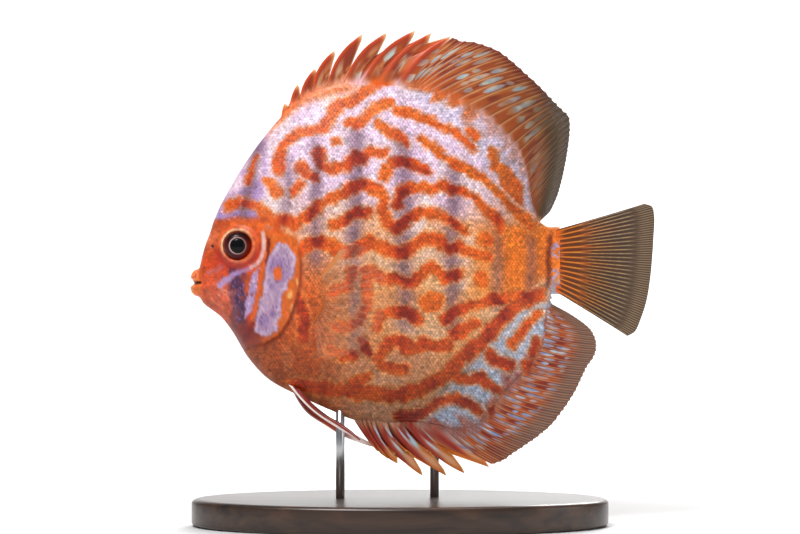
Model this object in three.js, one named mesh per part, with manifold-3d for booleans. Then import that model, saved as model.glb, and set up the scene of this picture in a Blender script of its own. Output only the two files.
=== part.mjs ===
// Life-size display model of a discus fish on a plain stand.
// Millimetres, +Z up. The snout points along -X and the left side of the fish faces -Y.
// Fish coordinates: [distance behind the snout, height above the mid-line].

import * as THREE from 'three';
import { mergeVertices } from 'three/addons/utils/BufferGeometryUtils.js';
import Module from 'manifold-3d';

const wasm = await Module();
wasm.setup();

// Driving dimensions
const SNOUT_X = -75.5;
const MIDLINE_Z = 95;
const GAP = 0.3;
const BODY_END = 133;
const EYE = [17.7, 5.8];
const EYE_RADIUS = 5.1;
const EYE_DEPTH = 2.9;
const EYE_SEAT = 8.9;
const NOSTRIL = [8.4, 5.6];
const NOSTRIL_RADIUS = 0.55;
const CLEFT = { x: 2.7, z: -7.2, height: 0.7, width: 14 };
const PECTORAL_ROOT = [44.6, -14.6];
const FIN_ROOT_SINK = 2.2;
const SPINE_HALF = 0.55;
const RAY_HALF = 0.42;
const MEMBRANE_HALF = 0.26;
const EDGE_HALF = 0.2;
const BASE = { length: 150, width: 78, height: 10, bevel: 1.6, shift: 0 };
const ROD_RADIUS = 1.6;

// Outlines of the body without its fins, from the snout to the root of the tail fin
const BACK = [
  [0, -6.2], [0.3, -4.6], [1.5, -3.0], [3.1, -2.3], [4.1, 1.4], [5.3, 5.8], [6.9, 10],
  [8.5, 14.9], [10.7, 20], [14.3, 26.6], [17.9, 32.8], [25.1, 43.1], [32.4, 51.8], [40.5, 58.3],
  [46.7, 60.8], [55.7, 62.6], [68.3, 61.9], [79.1, 58.3], [89.9, 51.1], [98.9, 41.4],
  [112.5, 27.4], [119.4, 20.5], [126.6, 13.9], [129.1, 12.6], [BODY_END, 12.6],
];
const BELLY = [
  [0, -9.2], [0.3, -10.6], [1.5, -12], [3.1, -12.6], [4.9, -15], [8.9, -18], [11.2, -19.9],
  [15, -24.8], [21.1, -34.8], [28.7, -42.6], [38, -47.6], [51.2, -53.6], [60.3, -57], [68.3, -57.2],
  [75.5, -55.4], [84.5, -51.8], [93.5, -46.4], [100.7, -40.3], [107.9, -33.1], [115.1, -24.8],
  [121.5, -16.9], [126.9, -11.9], [130.2, -11.5], [BODY_END, -11.7],
];
const HALF_WIDTH = [
  [0, 1.6], [0.3, 2.6], [1.5, 3.9], [3.1, 4.0], [4.4, 4.8], [8.9, 7.0], [15, 9.6], [22, 11.4],
  [30, 12.7], [38, 13.4], [50, 13.6], [65, 13], [80, 11.6], [95, 9.2], [110, 6.2], [122, 3.9],
  [128, 3.1], [BODY_END, 2.4],
];
// Rear edge of the gill cover, from the nape to the throat
const GILL_EDGE = [
  [26, 56], [29, 47], [32.3, 36.7], [35.9, 20.5], [38.4, 8.6], [40.3, 0], [39.7, -8.3], [38.4, -13.7],
  [35.9, -20.9], [32.3, -26.3], [26.9, -29.4], [21.5, -30.6], [17.2, -33.5], [14, -40],
];
// Crest of the cheek plate in front of the gill cover
const CHEEK_CREST = [[28.3, 9.7], [27.9, 1.4], [26.1, -8.3], [24, -18.7], [21, -25]];

function hermite(points) {
  const n = points.length;
  const slope = [];
  for (let i = 0; i < n - 1; i += 1) {
    slope.push((points[i + 1][1] - points[i][1]) / (points[i + 1][0] - points[i][0]));
  }
  const tangent = points.map((p, i) => {
    const before = slope[Math.max(i - 1, 0)];
    const after = slope[Math.min(i, n - 2)];
    return before * after <= 0 ? 0 : (2 * before * after) / (before + after);
  });
  tangent[0] = slope[0];
  tangent[n - 1] = slope[n - 2];
  return (x) => {
    let i = 0;
    while (i < n - 2 && x > points[i + 1][0]) {
      i += 1;
    }
    const span = points[i + 1][0] - points[i][0];
    const t = Math.min(Math.max((x - points[i][0]) / span, 0), 1);
    const t2 = t * t;
    const t3 = t2 * t;
    return (
      (2 * t3 - 3 * t2 + 1) * points[i][1] +
      (t3 - 2 * t2 + t) * span * tangent[i] +
      (3 * t2 - 2 * t3) * points[i + 1][1] +
      (t3 - t2) * span * tangent[i + 1]
    );
  };
}

const backLine = hermite(BACK);
const bellyLine = hermite(BELLY);
const halfWidth = hermite(HALF_WIDTH);

const clamp = THREE.MathUtils.clamp;
const lerp = THREE.MathUtils.lerp;
const smooth = (from, to, x) => THREE.MathUtils.smoothstep(x, from, to);

function curve2(points) {
  return new THREE.CatmullRomCurve3(
    points.map((p) => new THREE.Vector3(p[0], 0, p[1])), false, 'centripetal');
}

// Signed distance to an open line; positive on its rear (right-hand, going down) side
function lineDistance(points, x, z) {
  let best = Infinity;
  let sign = 1;
  for (let i = 0; i < points.length - 1; i += 1) {
    const [ax, az] = points[i];
    const dx = points[i + 1][0] - ax;
    const dz = points[i + 1][1] - az;
    const t = clamp(((x - ax) * dx + (z - az) * dz) / (dx * dx + dz * dz), 0, 1);
    const distance = Math.hypot(x - ax - t * dx, z - az - t * dz);
    if (distance < best - 1e-9) {
      best = distance;
      sign = Math.sign((x - ax) * -dz + (z - az) * dx) || 1;
    }
  }
  return best * sign;
}

// Small forms raised on the side of the body: gill cover, cheek crest, rim of the orbit, lips
function relief(x, z) {
  if (x > 60) {
    return 0;
  }
  const gill = lineDistance(GILL_EDGE, x, z);
  const below = smooth(30, 12, z);
  let rise = 0.9 * below * smooth(-16, -1.2, gill) * smooth(0.9, -0.3, gill);
  rise -= 0.35 * below * smooth(3.6, 0.6, gill) * smooth(-0.3, 0.8, gill);
  const crest = lineDistance(CHEEK_CREST, x, z);
  rise += 0.55 * Math.exp(-((crest + 0.7) ** 2) / 1.6) - 0.5 * Math.exp(-((crest - 1.3) ** 2) / 0.9);
  const orbit = Math.hypot(x - EYE[0], z - EYE[1]);
  rise += 0.55 * Math.exp(-((orbit - EYE_RADIUS - 0.7) ** 2) / 1.0);
  rise += 0.5 * smooth(3.6, 1.6, x) * smooth(0.2, 1.4, x);
  return rise;
}

// Half thickness of the body at a relative height u, from -1 at the belly to 1 at the back
function fullness(u) {
  return Math.max(1 - u * u, 0) ** 0.72;
}

function bodySide(x, z, grow = 0) {
  const top = backLine(x);
  const bottom = bellyLine(x);
  const u = (2 * z - top - bottom) / (top - bottom);
  return halfWidth(x) * fullness(clamp(u, -1, 1)) + relief(x, z) + grow;
}

function toSolid(geometry) {
  const bare = geometry.index ? geometry.clone() : geometry;
  bare.deleteAttribute('normal');
  bare.deleteAttribute('uv');
  const merged = mergeVertices(bare, 1e-5);
  return new wasm.Manifold(new wasm.Mesh({
    numProp: 3,
    vertProperties: new Float32Array(merged.attributes.position.array),
    triVerts: new Uint32Array(merged.index.array),
  }));
}

function toGeometry(solid) {
  const mesh = solid.getMesh();
  const geometry = new THREE.BufferGeometry();
  geometry.setAttribute('position', new THREE.BufferAttribute(new Float32Array(mesh.vertProperties), 3));
  geometry.setIndex(new THREE.BufferAttribute(new Uint32Array(mesh.triVerts), 1));
  geometry.computeVertexNormals();
  return geometry;
}

function largest(solid) {
  return solid.decompose().sort((a, b) => b.volume() - a.volume())[0];
}

function fromLists(points, triangles) {
  const geometry = new THREE.BufferGeometry();
  geometry.setAttribute('position', new THREE.Float32BufferAttribute(points.flat(), 3));
  geometry.setIndex(triangles.flat());
  return geometry;
}

// Fish coordinates and a sideways distance to the part's frame
function place(x, y, z) {
  return [SNOUT_X + x, y, MIDLINE_Z + z];
}

function stations() {
  const list = [0, 0.35, 0.9, 1.6, 2.3, 3.0, 3.6, 4.2, 5.0, 6.0, 7.2];
  for (let x = 8.6; x < 42; x += 1.9) {
    list.push(x);
  }
  for (let x = 43.5; x < 126; x += 4.4) {
    list.push(x);
  }
  list.push(126.6, 129.4, 131.4, BODY_END);
  return list;
}

const RING = 36;

// The whole body as rings across it, from the snout to the root of the tail fin
function bodyLoft(grow) {
  const points = [];
  const triangles = [];
  const list = stations();
  list.forEach((x, i) => {
    const top = backLine(x) + grow;
    const bottom = bellyLine(x) - grow;
    const middle = (top + bottom) / 2;
    const half = (top - bottom) / 2;
    let at = x;
    if (i === 0) {
      at -= grow;
    } else if (i === list.length - 1) {
      at += grow;
    }
    for (let k = 0; k < RING; k += 1) {
      const angle = (2 * Math.PI * k) / RING;
      const u = Math.sign(Math.cos(angle)) * Math.abs(Math.cos(angle)) ** 0.88;
      const z = middle + half * u;
      const side = Math.sin(angle);
      const width = halfWidth(x) * fullness(u) + (Math.abs(side) > 0.2 ? relief(x, z) : 0) + grow;
      const edge = k === 0 || k === RING / 2;
      points.push(place(at, edge ? 0 : -Math.sign(side) * width, z));
    }
  });
  for (let i = 0; i < list.length - 1; i += 1) {
    for (let k = 0; k < RING; k += 1) {
      const a = i * RING + k;
      const b = i * RING + ((k + 1) % RING);
      triangles.push([a, b, a + RING], [b, b + RING, a + RING]);
    }
  }
  const front = points.length;
  points.push(place(-grow, 0, (backLine(0) + bellyLine(0)) / 2));
  const rear = points.length;
  points.push(place(BODY_END + grow, 0, (backLine(BODY_END) + bellyLine(BODY_END)) / 2));
  const last = (list.length - 1) * RING;
  for (let k = 0; k < RING; k += 1) {
    const next = (k + 1) % RING;
    triangles.push([front, next, k], [rear, last + k, last + next]);
  }
  return toSolid(fromLists(points, triangles));
}

// A thin upright sheet that follows a line and parts the body there
function partingSheet(points) {
  const path = curve2(points).getPoints(40);
  const shape = new THREE.Shape();
  const sides = [GAP / 2, -GAP / 2].map((offset) => path.map((p, i) => {
    const before = path[Math.max(i - 1, 0)];
    const after = path[Math.min(i + 1, path.length - 1)];
    const length = Math.hypot(after.x - before.x, after.z - before.z);
    return [p.x + (offset * (before.z - after.z)) / length, p.z + (offset * (after.x - before.x)) / length];
  }));
  sides[0].forEach(([x, z], i) => (i ? shape.lineTo(x, z) : shape.moveTo(x, z)));
  sides[1].reverse().forEach(([x, z]) => shape.lineTo(x, z));
  const depth = 40;
  const sheet = new THREE.ExtrudeGeometry(shape, { depth, bevelEnabled: false });
  sheet.rotateX(Math.PI / 2);
  sheet.translate(SNOUT_X, depth / 2, MIDLINE_Z);
  return toSolid(sheet);
}

function ellipsoid(center, radii, grow, segments = 22, rings = 10) {
  const ball = new THREE.SphereGeometry(1, segments, rings);
  ball.rotateX(Math.PI / 2);
  ball.scale(radii[0] + grow, radii[1] + grow, radii[2] + grow);
  ball.translate(...center);
  return toSolid(ball);
}

function eyeball(side, grow) {
  return ellipsoid(place(EYE[0], side * EYE_SEAT, EYE[1]), [EYE_RADIUS, EYE_DEPTH, EYE_RADIUS], grow);
}

// A fin as a quilt of columns from root to margin; front and back faces share one triangulation.
// Each column has a root point, a tip point, a bow (sideways bend within the fin's plane),
// a half thickness at the root, along its length and at the margin, and the sway of its tip in Y.
function quilt(columns, rows, surface) {
  const points = [];
  const triangles = [];
  const width = rows + 1;
  const total = columns.length * width;
  for (const face of [-1, 1]) {
    columns.forEach((column, i) => {
      for (let j = 0; j <= rows; j += 1) {
        const t = j / rows;
        points.push(surface(column, t, face, i / (columns.length - 1)));
      }
    });
  }
  const quad = (a, b, c, d) => triangles.push([a, b, c], [a, c, d]);
  for (let i = 0; i < columns.length - 1; i += 1) {
    for (let j = 0; j < rows; j += 1) {
      const a = i * width + j;
      quad(a, a + width, a + width + 1, a + 1);
      triangles.push([total + a, total + a + width + 1, total + a + width]);
      triangles.push([total + a, total + a + 1, total + a + width + 1]);
    }
    const root = i * width;
    quad(root, total + root, total + root + width, root + width);
    const tip = i * width + rows;
    quad(tip, tip + width, total + tip + width, total + tip);
  }
  const end = (columns.length - 1) * width;
  for (let j = 0; j < rows; j += 1) {
    quad(j, j + 1, total + j + 1, total + j);
    quad(end + j, total + end + j, total + end + j + 1, end + j + 1);
  }
  const solid = toSolid(fromLists(points, triangles));
  return solid.volume() > 0 ? solid : toSolid(fromLists(points, triangles.map((t) => [t[0], t[2], t[1]])));
}

// Point and half thickness of an unpaired fin's column in the fish's middle plane
function medianSurface(options) {
  return (column, t, face, along) => {
    const { root, tip } = column;
    const bow = column.bow ?? 0;
    const length = Math.hypot(tip[0] - root[0], tip[1] - root[1]) || 1;
    const nx = (tip[1] - root[1]) / length;
    const nz = -(tip[0] - root[0]) / length;
    const bulge = 4 * t * (1 - t) * bow * length;
    const x = root[0] + (tip[0] - root[0]) * t + nx * bulge;
    const z = root[1] + (tip[1] - root[1]) * t + nz * bulge;
    const fade = 1 - smooth(0.5, 1, t);
    const ridge = lerp(EDGE_HALF, column.half, 0.35 + 0.65 * fade);
    const sheath = options.sheath * (1 - smooth(0, options.sheathEnd, t));
    const sway = options.sway * t * t * Math.sin(options.waves * Math.PI * along + options.phase);
    return place(x, sway + face * Math.max(ridge, sheath + (column.half - MEMBRANE_HALF) * 0.4), z);
  };
}

function sampleLine(points, count, from = 0, to = 1) {
  const line = curve2(points);
  return Array.from({ length: count }, (_, i) => {
    const p = line.getPointAt(lerp(from, to, count > 1 ? i / (count - 1) : 0));
    return [p.x, p.z];
  });
}

// Columns of a spiny stretch: each spine has a front, a crest and a back, and the membrane
// behind it falls to a notch at the foot of the next spine's tip.
function spinyColumns(spines) {
  const columns = [];
  spines.forEach((spine, i) => {
    const { root, tip, notch, bow } = spine;
    const dx = tip[0] - root[0];
    const dz = tip[1] - root[1];
    const length = Math.hypot(dx, dz);
    const along = [dz / length, -dx / length];
    const shift = (p, d) => [p[0] + along[0] * d * spine.turn, p[1] + along[1] * d * spine.turn];
    if (notch) {
      columns.push({ root: shift(root, -0.7), tip: notch, half: MEMBRANE_HALF, bow });
    } else {
      columns.push({ root: shift(root, -0.7), tip: shift([lerp(root[0], tip[0], 0.86),
        lerp(root[1], tip[1], 0.86)], -0.3), half: SPINE_HALF * 0.7, bow });
    }
    columns.push({ root, tip, half: SPINE_HALF, bow });
    const foot = [lerp(root[0], tip[0], 0.95), lerp(root[1], tip[1], 0.95)];
    columns.push({ root: shift(root, 0.7), tip: shift(foot, 0.5), half: MEMBRANE_HALF, bow });
    const next = spines[i + 1];
    if (next) {
      const end = next.notch ?? next.tip;
      columns.push({
        root: [(root[0] + next.root[0]) / 2, (root[1] + next.root[1]) / 2],
        tip: [lerp(foot[0], end[0], 0.55), lerp(foot[1], end[1], 0.55) - 0.03 * spine.turn * length],
        half: MEMBRANE_HALF, bow,
      });
    }
  });
  return columns;
}

// Soft rays and the membrane between them, evenly along root and margin
function softColumns(roots, margin, rays, bow) {
  const count = rays * 2 + 1;
  const lower = sampleLine(roots, count);
  const upper = sampleLine(margin, count);
  return lower.map((root, i) => ({
    root, tip: upper[i], half: i % 2 === 1 ? RAY_HALF : MEMBRANE_HALF, bow: bow * (1 - 0.5 * (i / count)),
  }));
}

const SINK = FIN_ROOT_SINK;
const DORSAL_SPINES = [
  { root: [33.4, 52.6 - SINK], tip: [34, 57] },
  { root: [36.3, 55.4 - SINK], tip: [38.6, 63.8], notch: [37.4, 59.6] },
  { root: [39.8, 57.8 - SINK], tip: [44.9, 69.6], notch: [43.4, 64.8] },
  { root: [44.3, 60.1 - SINK], tip: [51.8, 76.2], notch: [50, 69.8] },
  { root: [49.6, 61.6 - SINK], tip: [61.8, 82.1], notch: [59.2, 75.4] },
  { root: [55.5, 62.5 - SINK], tip: [70.6, 82.6], notch: [67.6, 76.8] },
  { root: [61.8, 62.6 - SINK], tip: [80.9, 83.4], notch: [77.6, 79.2] },
  { root: [67.6, 62 - SINK], tip: [86.8, 82.6], notch: [84.6, 79.6] },
  { root: [73.2, 60.6 - SINK], tip: [93.7, 81.5], notch: [91.4, 79.4] },
];
const DORSAL_SOFT_ROOT = [
  [75, 60 - SINK], [84, 55.4 - SINK], [92, 49.2 - SINK], [98.9, 41.4 - SINK], [106, 34 - SINK],
  [113, 26.8 - SINK], [119.4, 20.4 - SINK], [125, 15.2 - SINK],
];
const DORSAL_SOFT_MARGIN = [
  [94.6, 81.1], [97.1, 79.9], [102.8, 79.2], [111.5, 75.8], [118.7, 69.9], [126.2, 62.9],
  [133.4, 55.4], [136.2, 52.6], [136.7, 49], [136.2, 42.1], [133.8, 29.2], [132, 23.2],
  [129.3, 17.8], [126.6, 15.6],
];
const ANAL_SPINES = [
  { root: [61.5, -57.4 + SINK], tip: [61.8, -60.8] },
  { root: [63.6, -57.6 + SINK], tip: [64.3, -64.3], notch: [63.2, -62.2] },
  { root: [66.2, -57.6 + SINK], tip: [67.6, -68.2], notch: [66.4, -66] },
  { root: [69.2, -57.2 + SINK], tip: [71.3, -70.9], notch: [70.2, -69] },
  { root: [72.4, -56.4 + SINK], tip: [74.6, -72.6], notch: [74, -70.4] },
  { root: [76, -55.2 + SINK], tip: [83.6, -76.9], notch: [81.4, -73] },
  { root: [80, -53.6 + SINK], tip: [92.2, -76.9], notch: [90, -73.2] },
  { root: [84, -51.8 + SINK], tip: [98.8, -76.1], notch: [96.8, -73.4] },
  { root: [88, -49.8 + SINK], tip: [107.6, -73.9], notch: [105.4, -71.6] },
];
const ANAL_SOFT_ROOT = [
  [89.4, -49 + SINK], [96.4, -44 + SINK], [103, -38 + SINK], [109.5, -31.2 + SINK],
  [116, -23.6 + SINK], [121.5, -16.9 + SINK], [125.4, -13 + SINK],
];
const ANAL_SOFT_MARGIN = [
  [108.6, -72.9], [112.4, -71.6], [116.5, -68.8], [122.5, -64.8], [128.6, -60.1], [133.9, -54],
  [138.6, -46.8], [142.7, -38.5], [146, -33.1], [146.4, -29.2], [145, -25.2], [142, -22.2],
  [136, -18.2], [128.6, -14.4],
];
const CAUDAL_ROOT = [[BODY_END - 1.4, 11.6], [BODY_END - 1.4, -10.7]];
const CAUDAL_UPPER = [[BODY_END + 1.5, 12.9], [138.8, 14.5], [147.5, 18], [154.7, 19.8], [163.5, 21]];
const CAUDAL_TRAILING = [
  [163.5, 21], [166.2, 20], [167.1, 16.6], [166.9, 9.7], [166.4, 1.8], [165.5, -7.2],
  [164.2, -14.4], [162.2, -20.5], [160.1, -25], [157.4, -26.7],
];

function dorsalFin() {
  const spines = DORSAL_SPINES.map((s, i) => ({ ...s, turn: 1, bow: i > 2 ? -0.07 : -0.03 }));
  const soft = softColumns(DORSAL_SOFT_ROOT, DORSAL_SOFT_MARGIN, 31, -0.02);
  const surface = medianSurface({ sheath: 1.5, sheathEnd: 0.45, sway: 1.1, waves: 2.4, phase: 0.4 });
  return quilt([...spinyColumns(spines), ...soft], 5, surface);
}

function analFin() {
  const spines = ANAL_SPINES.map((s) => ({ ...s, turn: -1, bow: 0.04 }));
  const soft = softColumns(ANAL_SOFT_ROOT, ANAL_SOFT_MARGIN, 30, 0.02);
  const surface = medianSurface({ sheath: 1.5, sheathEnd: 0.5, sway: 1.0, waves: 2.2, phase: 2.6 });
  return quilt([...spinyColumns(spines), ...soft], 5, surface);
}

// The tail fin: sixteen rays that fork half way, so ridges double towards the margin
function caudalFin() {
  const rays = 16;
  const count = rays * 3 + 1;
  const roots = sampleLine(CAUDAL_ROOT, count);
  const tips = sampleLine(CAUDAL_TRAILING, count);
  const columns = roots.map((root, i) => ({ root, tip: tips[i], kind: i % 3, bow: 0 }));
  const surface = (column, t, face, along) => {
    const x = lerp(column.root[0], column.tip[0], t);
    const flare = Math.sin(Math.min(t * 1.15, 1) * Math.PI / 2) * 0.35 + t * 0.65;
    const pinch = (t - flare) * 2.2 * (0.5 - along);
    const z = lerp(column.root[1], column.tip[1], t) + pinch;
    const ray = column.kind === 0 ? MEMBRANE_HALF : RAY_HALF;
    const body = 1.7 * (1 - smooth(0, 0.3, t));
    const half = Math.max(lerp(EDGE_HALF, ray, 1 - smooth(0.6, 1, t)), body);
    return place(x, 0.9 * t * t * Math.sin(2.6 * along + 0.5) + face * half, z);
  };
  return quilt(columns, 6, surface);
}

// A breast fin: a fan of rays that stands off the side of the body
const PECTORAL = {
  rays: 12, first: 58, last: -82, sink: 2.6, rootHalf: 5.6, spread: 24,
  lengths: [20, 25, 28, 29.5, 29.5, 28, 26, 23.5, 21, 18.5, 16, 13.5],
};

function pectoralFin(side) {
  const count = PECTORAL.rays * 2 - 1;
  const reach = hermite(PECTORAL.lengths.map((length, i) => [i / (PECTORAL.rays - 1), length]));
  const columns = Array.from({ length: count }, (_, i) => {
    const s = i / (count - 1);
    return { s, half: i % 2 === 0 ? RAY_HALF : MEMBRANE_HALF };
  });
  const tilt = THREE.MathUtils.degToRad(PECTORAL.spread);
  const wall = bodySide(PECTORAL_ROOT[0], PECTORAL_ROOT[1]);
  const surface = (column, t, face) => {
    const angle = THREE.MathUtils.degToRad(lerp(PECTORAL.first, PECTORAL.last, column.s));
    const length = reach(column.s) * t + PECTORAL.sink * (t - 1) * 0.6;
    const rootZ = PECTORAL_ROOT[1] + PECTORAL.rootHalf * (1 - 2 * column.s);
    const along = Math.cos(angle) * length;
    const x = PECTORAL_ROOT[0] + along * Math.cos(tilt);
    const z = rootZ + Math.sin(angle) * length;
    const cup = 2.2 * t * t * Math.cos(Math.PI * (column.s - 0.5));
    const out = wall - PECTORAL.sink * (1 - t) ** 2 + 0.9 * t + length * Math.sin(tilt) * 0.9 + cup;
    const half = Math.max(lerp(EDGE_HALF, column.half, 1 - smooth(0.6, 1, t)), 0.95 * (1 - smooth(0, 0.3, t)));
    return place(x, side * out + face * half, z);
  };
  return quilt(columns, 6, surface);
}

// A belly fin: a strong spine in front, five soft rays behind it, and a trailing filament
const PELVIC_LEFT = {
  front: [[35.6, -44], [39.3, -48.6], [43.1, -52.4], [46.3, -55], [51.7, -58.6], [56.7, -61.6], [61, -64]],
  rear: [[39.6, -45.6], [42.6, -49.4], [45.8, -52.6], [49, -54.8], [54, -57.6], [58.4, -60.8], [61.4, -63.6]],
  side: -1, out: 3.4,
};
const PELVIC_RIGHT = {
  front: [[35.6, -44], [38.7, -50.4], [42.3, -54.9], [48, -58.8], [55, -63], [63.6, -66.3], [71.6, -67.9]],
  rear: [[39.6, -45.6], [43, -50.2], [46.8, -53.6], [52, -57.4], [58, -61.6], [64.8, -65.2], [71.8, -67.5]],
  side: 1, out: 3.6,
};

function pelvicFin(form) {
  const rays = 6;
  const count = rays * 2 - 1;
  const front = curve2(form.front);
  const rear = curve2(form.rear);
  const columns = Array.from({ length: count }, (_, i) => ({ s: i / (count - 1), ray: i % 2 === 0, first: i === 0 }));
  const surface = (column, t, face) => {
    const a = front.getPointAt(t);
    const b = rear.getPointAt(t);
    const ridge = column.first ? SPINE_HALF : column.ray ? RAY_HALF : MEMBRANE_HALF;
    const half = Math.max(lerp(EDGE_HALF, ridge, 1 - smooth(0.5, 1, t)), 1.1 * (1 - smooth(0, 0.25, t)));
    const out = form.out + 0.9 * smooth(0.1, 0.5, t) + 0.5 * column.s * t;
    return place(lerp(a.x, b.x, column.s), form.side * out + face * half, lerp(a.z, b.z, column.s));
  };
  return quilt(columns, 11, surface);
}

function standBase() {
  const shape = new THREE.Shape();
  shape.absellipse(0, 0, BASE.length / 2 - BASE.bevel, BASE.width / 2 - BASE.bevel, 0, 2 * Math.PI);
  const slab = new THREE.ExtrudeGeometry(shape, {
    depth: BASE.height - 2 * BASE.bevel, bevelEnabled: true, bevelSize: BASE.bevel,
    bevelThickness: BASE.bevel, bevelSegments: 2, curveSegments: 24,
  });
  slab.translate(BASE.shift, 0, BASE.bevel);
  return toSolid(slab);
}

function rod(x, y, top) {
  const length = top - BASE.height - GAP;
  const bar = new THREE.CylinderGeometry(ROD_RADIUS, ROD_RADIUS, length, 20);
  bar.rotateX(Math.PI / 2);
  bar.translate(SNOUT_X + x, y, BASE.height + GAP + length / 2);
  return toSolid(bar);
}

const TAIL_CUT = [[126.4, 24], [127.4, 8], [127.8, 0], [127.4, -8], [126.4, -24]];

const grown = bodyLoft(GAP);
let whole = bodyLoft(0);
for (const side of [-1, 1]) {
  whole = whole.subtract(eyeball(side, GAP));
  const surface = bodySide(NOSTRIL[0], NOSTRIL[1]);
  whole = whole.subtract(ellipsoid(place(NOSTRIL[0], side * surface, NOSTRIL[1]),
    [NOSTRIL_RADIUS, 0.9, NOSTRIL_RADIUS], 0, 10, 6));
}
const slit = new THREE.CylinderGeometry(CLEFT.height / 2, CLEFT.height / 2, CLEFT.width, 10);
slit.scale(CLEFT.x / (CLEFT.height / 2), 1, 1);
slit.translate(SNOUT_X, 0, MIDLINE_Z + CLEFT.z);
whole = whole.subtract(toSolid(slit));

const parted = whole.subtract(partingSheet(GILL_EDGE)).subtract(partingSheet(TAIL_CUT)).decompose()
  .sort((a, b) => b.volume() - a.volume()).slice(0, 3)
  .sort((a, b) => a.boundingBox().min[0] - b.boundingBox().min[0]);
const [head, torso, tail] = parted;

const clear = (solid) => largest(solid.subtract(grown));

const LOOKS = {
  face: { color: 0xc8502e, roughness: 0.38, metalness: 0 },
  flank: { color: 0xc9977e, roughness: 0.38, metalness: 0 },
  stalk: { color: 0xb59a94, roughness: 0.38, metalness: 0 },
  dorsal: { color: 0xb9683c, roughness: 0.4, metalness: 0 },
  anal: { color: 0xa84a24, roughness: 0.4, metalness: 0 },
  tailFin: { color: 0x8c7a62, roughness: 0.4, metalness: 0 },
  clearFin: { color: 0xb98a72, roughness: 0.35, metalness: 0 },
  belly: { color: 0x8a2a20, roughness: 0.4, metalness: 0 },
  eye: { color: 0x241014, roughness: 0.08, metalness: 0 },
  wood: { color: 0x2c221c, roughness: 0.45, metalness: 0 },
  steel: { color: 0xb4b6b8, roughness: 0.3, metalness: 1 },
};

const part = new THREE.Group();

function add(name, solid, look) {
  const mesh = new THREE.Mesh(toGeometry(solid), new THREE.MeshStandardMaterial(LOOKS[look]));
  mesh.name = name;
  part.add(mesh);
}

add('head', head, 'face');
add('torso', torso, 'flank');
add('tail', tail, 'stalk');
add('dorsal_fin', clear(dorsalFin()), 'dorsal');
add('anal_fin', clear(analFin()), 'anal');
add('caudal_fin', clear(caudalFin()), 'tailFin');
add('pectoral_fin_left', clear(pectoralFin(-1)), 'clearFin');
add('pectoral_fin_right', clear(pectoralFin(1)), 'clearFin');
add('pelvic_fin_left', clear(pelvicFin(PELVIC_LEFT)), 'belly');
add('pelvic_fin_right', clear(pelvicFin(PELVIC_RIGHT)), 'belly');
add('eye_left', eyeball(-1, 0), 'eye');
add('eye_right', eyeball(1, 0), 'eye');
add('stand_base', standBase(), 'wood');
add('stand_rod_front', clear(rod(54, 0, 48)), 'steel');
add('stand_rod_rear', clear(rod(88, 5.6, 66)), 'steel');

export default part;
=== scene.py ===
"""Looks of a life-size discus fish on a plain display stand.

Sizes are millimetres in the fish's own frame: x runs back from the snout and z up from the
mid-line. The fish faces -X in the part's frame and its left side faces -Y. Paints are tuples of
red, green and blue out of 255.
"""
import math
from collections import namedtuple

import bpy
import numpy as np
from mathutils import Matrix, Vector


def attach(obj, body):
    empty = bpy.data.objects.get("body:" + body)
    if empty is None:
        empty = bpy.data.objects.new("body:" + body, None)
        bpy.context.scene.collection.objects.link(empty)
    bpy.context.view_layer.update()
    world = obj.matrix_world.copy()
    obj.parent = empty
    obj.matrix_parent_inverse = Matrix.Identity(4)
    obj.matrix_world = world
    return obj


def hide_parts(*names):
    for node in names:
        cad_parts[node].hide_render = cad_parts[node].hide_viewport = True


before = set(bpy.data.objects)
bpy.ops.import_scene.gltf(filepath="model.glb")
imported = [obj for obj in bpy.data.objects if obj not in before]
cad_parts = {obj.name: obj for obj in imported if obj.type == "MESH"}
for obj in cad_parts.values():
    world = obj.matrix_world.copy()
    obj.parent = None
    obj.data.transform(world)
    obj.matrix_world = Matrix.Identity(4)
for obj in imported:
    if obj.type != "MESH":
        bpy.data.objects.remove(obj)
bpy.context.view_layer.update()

MM = 0.001
SNOUT_X = -75.5
MIDLINE_Z = 95.0
BODY_END = 133.0
# The eye: place, radius, how far it bulges and how far its middle is from the mid-plane
EYE = (17.7, 5.8)
EYE_RADIUS = 5.1
EYE_DEPTH = 2.9
EYE_SEAT = 8.9
NOSTRIL = (8.4, 5.6)
PECTORAL_ROOT = (44.6, -14.6)
# The mouth: height and depth of the cleft between the lips
CLEFT_Z = -7.4
CLEFT_DEPTH = 2.9
LEFT, RIGHT = -1, 1
SIDE_NAMES = {LEFT: "left", RIGHT: "right"}

# Lines of the head: rear edge of the gill cover and crest of the cheek
GILL_EDGE = [
    (26, 56), (29, 47), (32.3, 36.7), (35.9, 20.5), (38.4, 8.6), (40.3, 0), (39.7, -8.3),
    (38.4, -13.7), (35.9, -20.9), (32.3, -26.3), (26.9, -29.4), (21.5, -30.6), (17.2, -33.5),
    (14, -40),
]
CHEEK_CREST = [(28.3, 9.7), (27.9, 1.4), (26.1, -8.3), (24, -18.7), (21, -25)]


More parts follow.
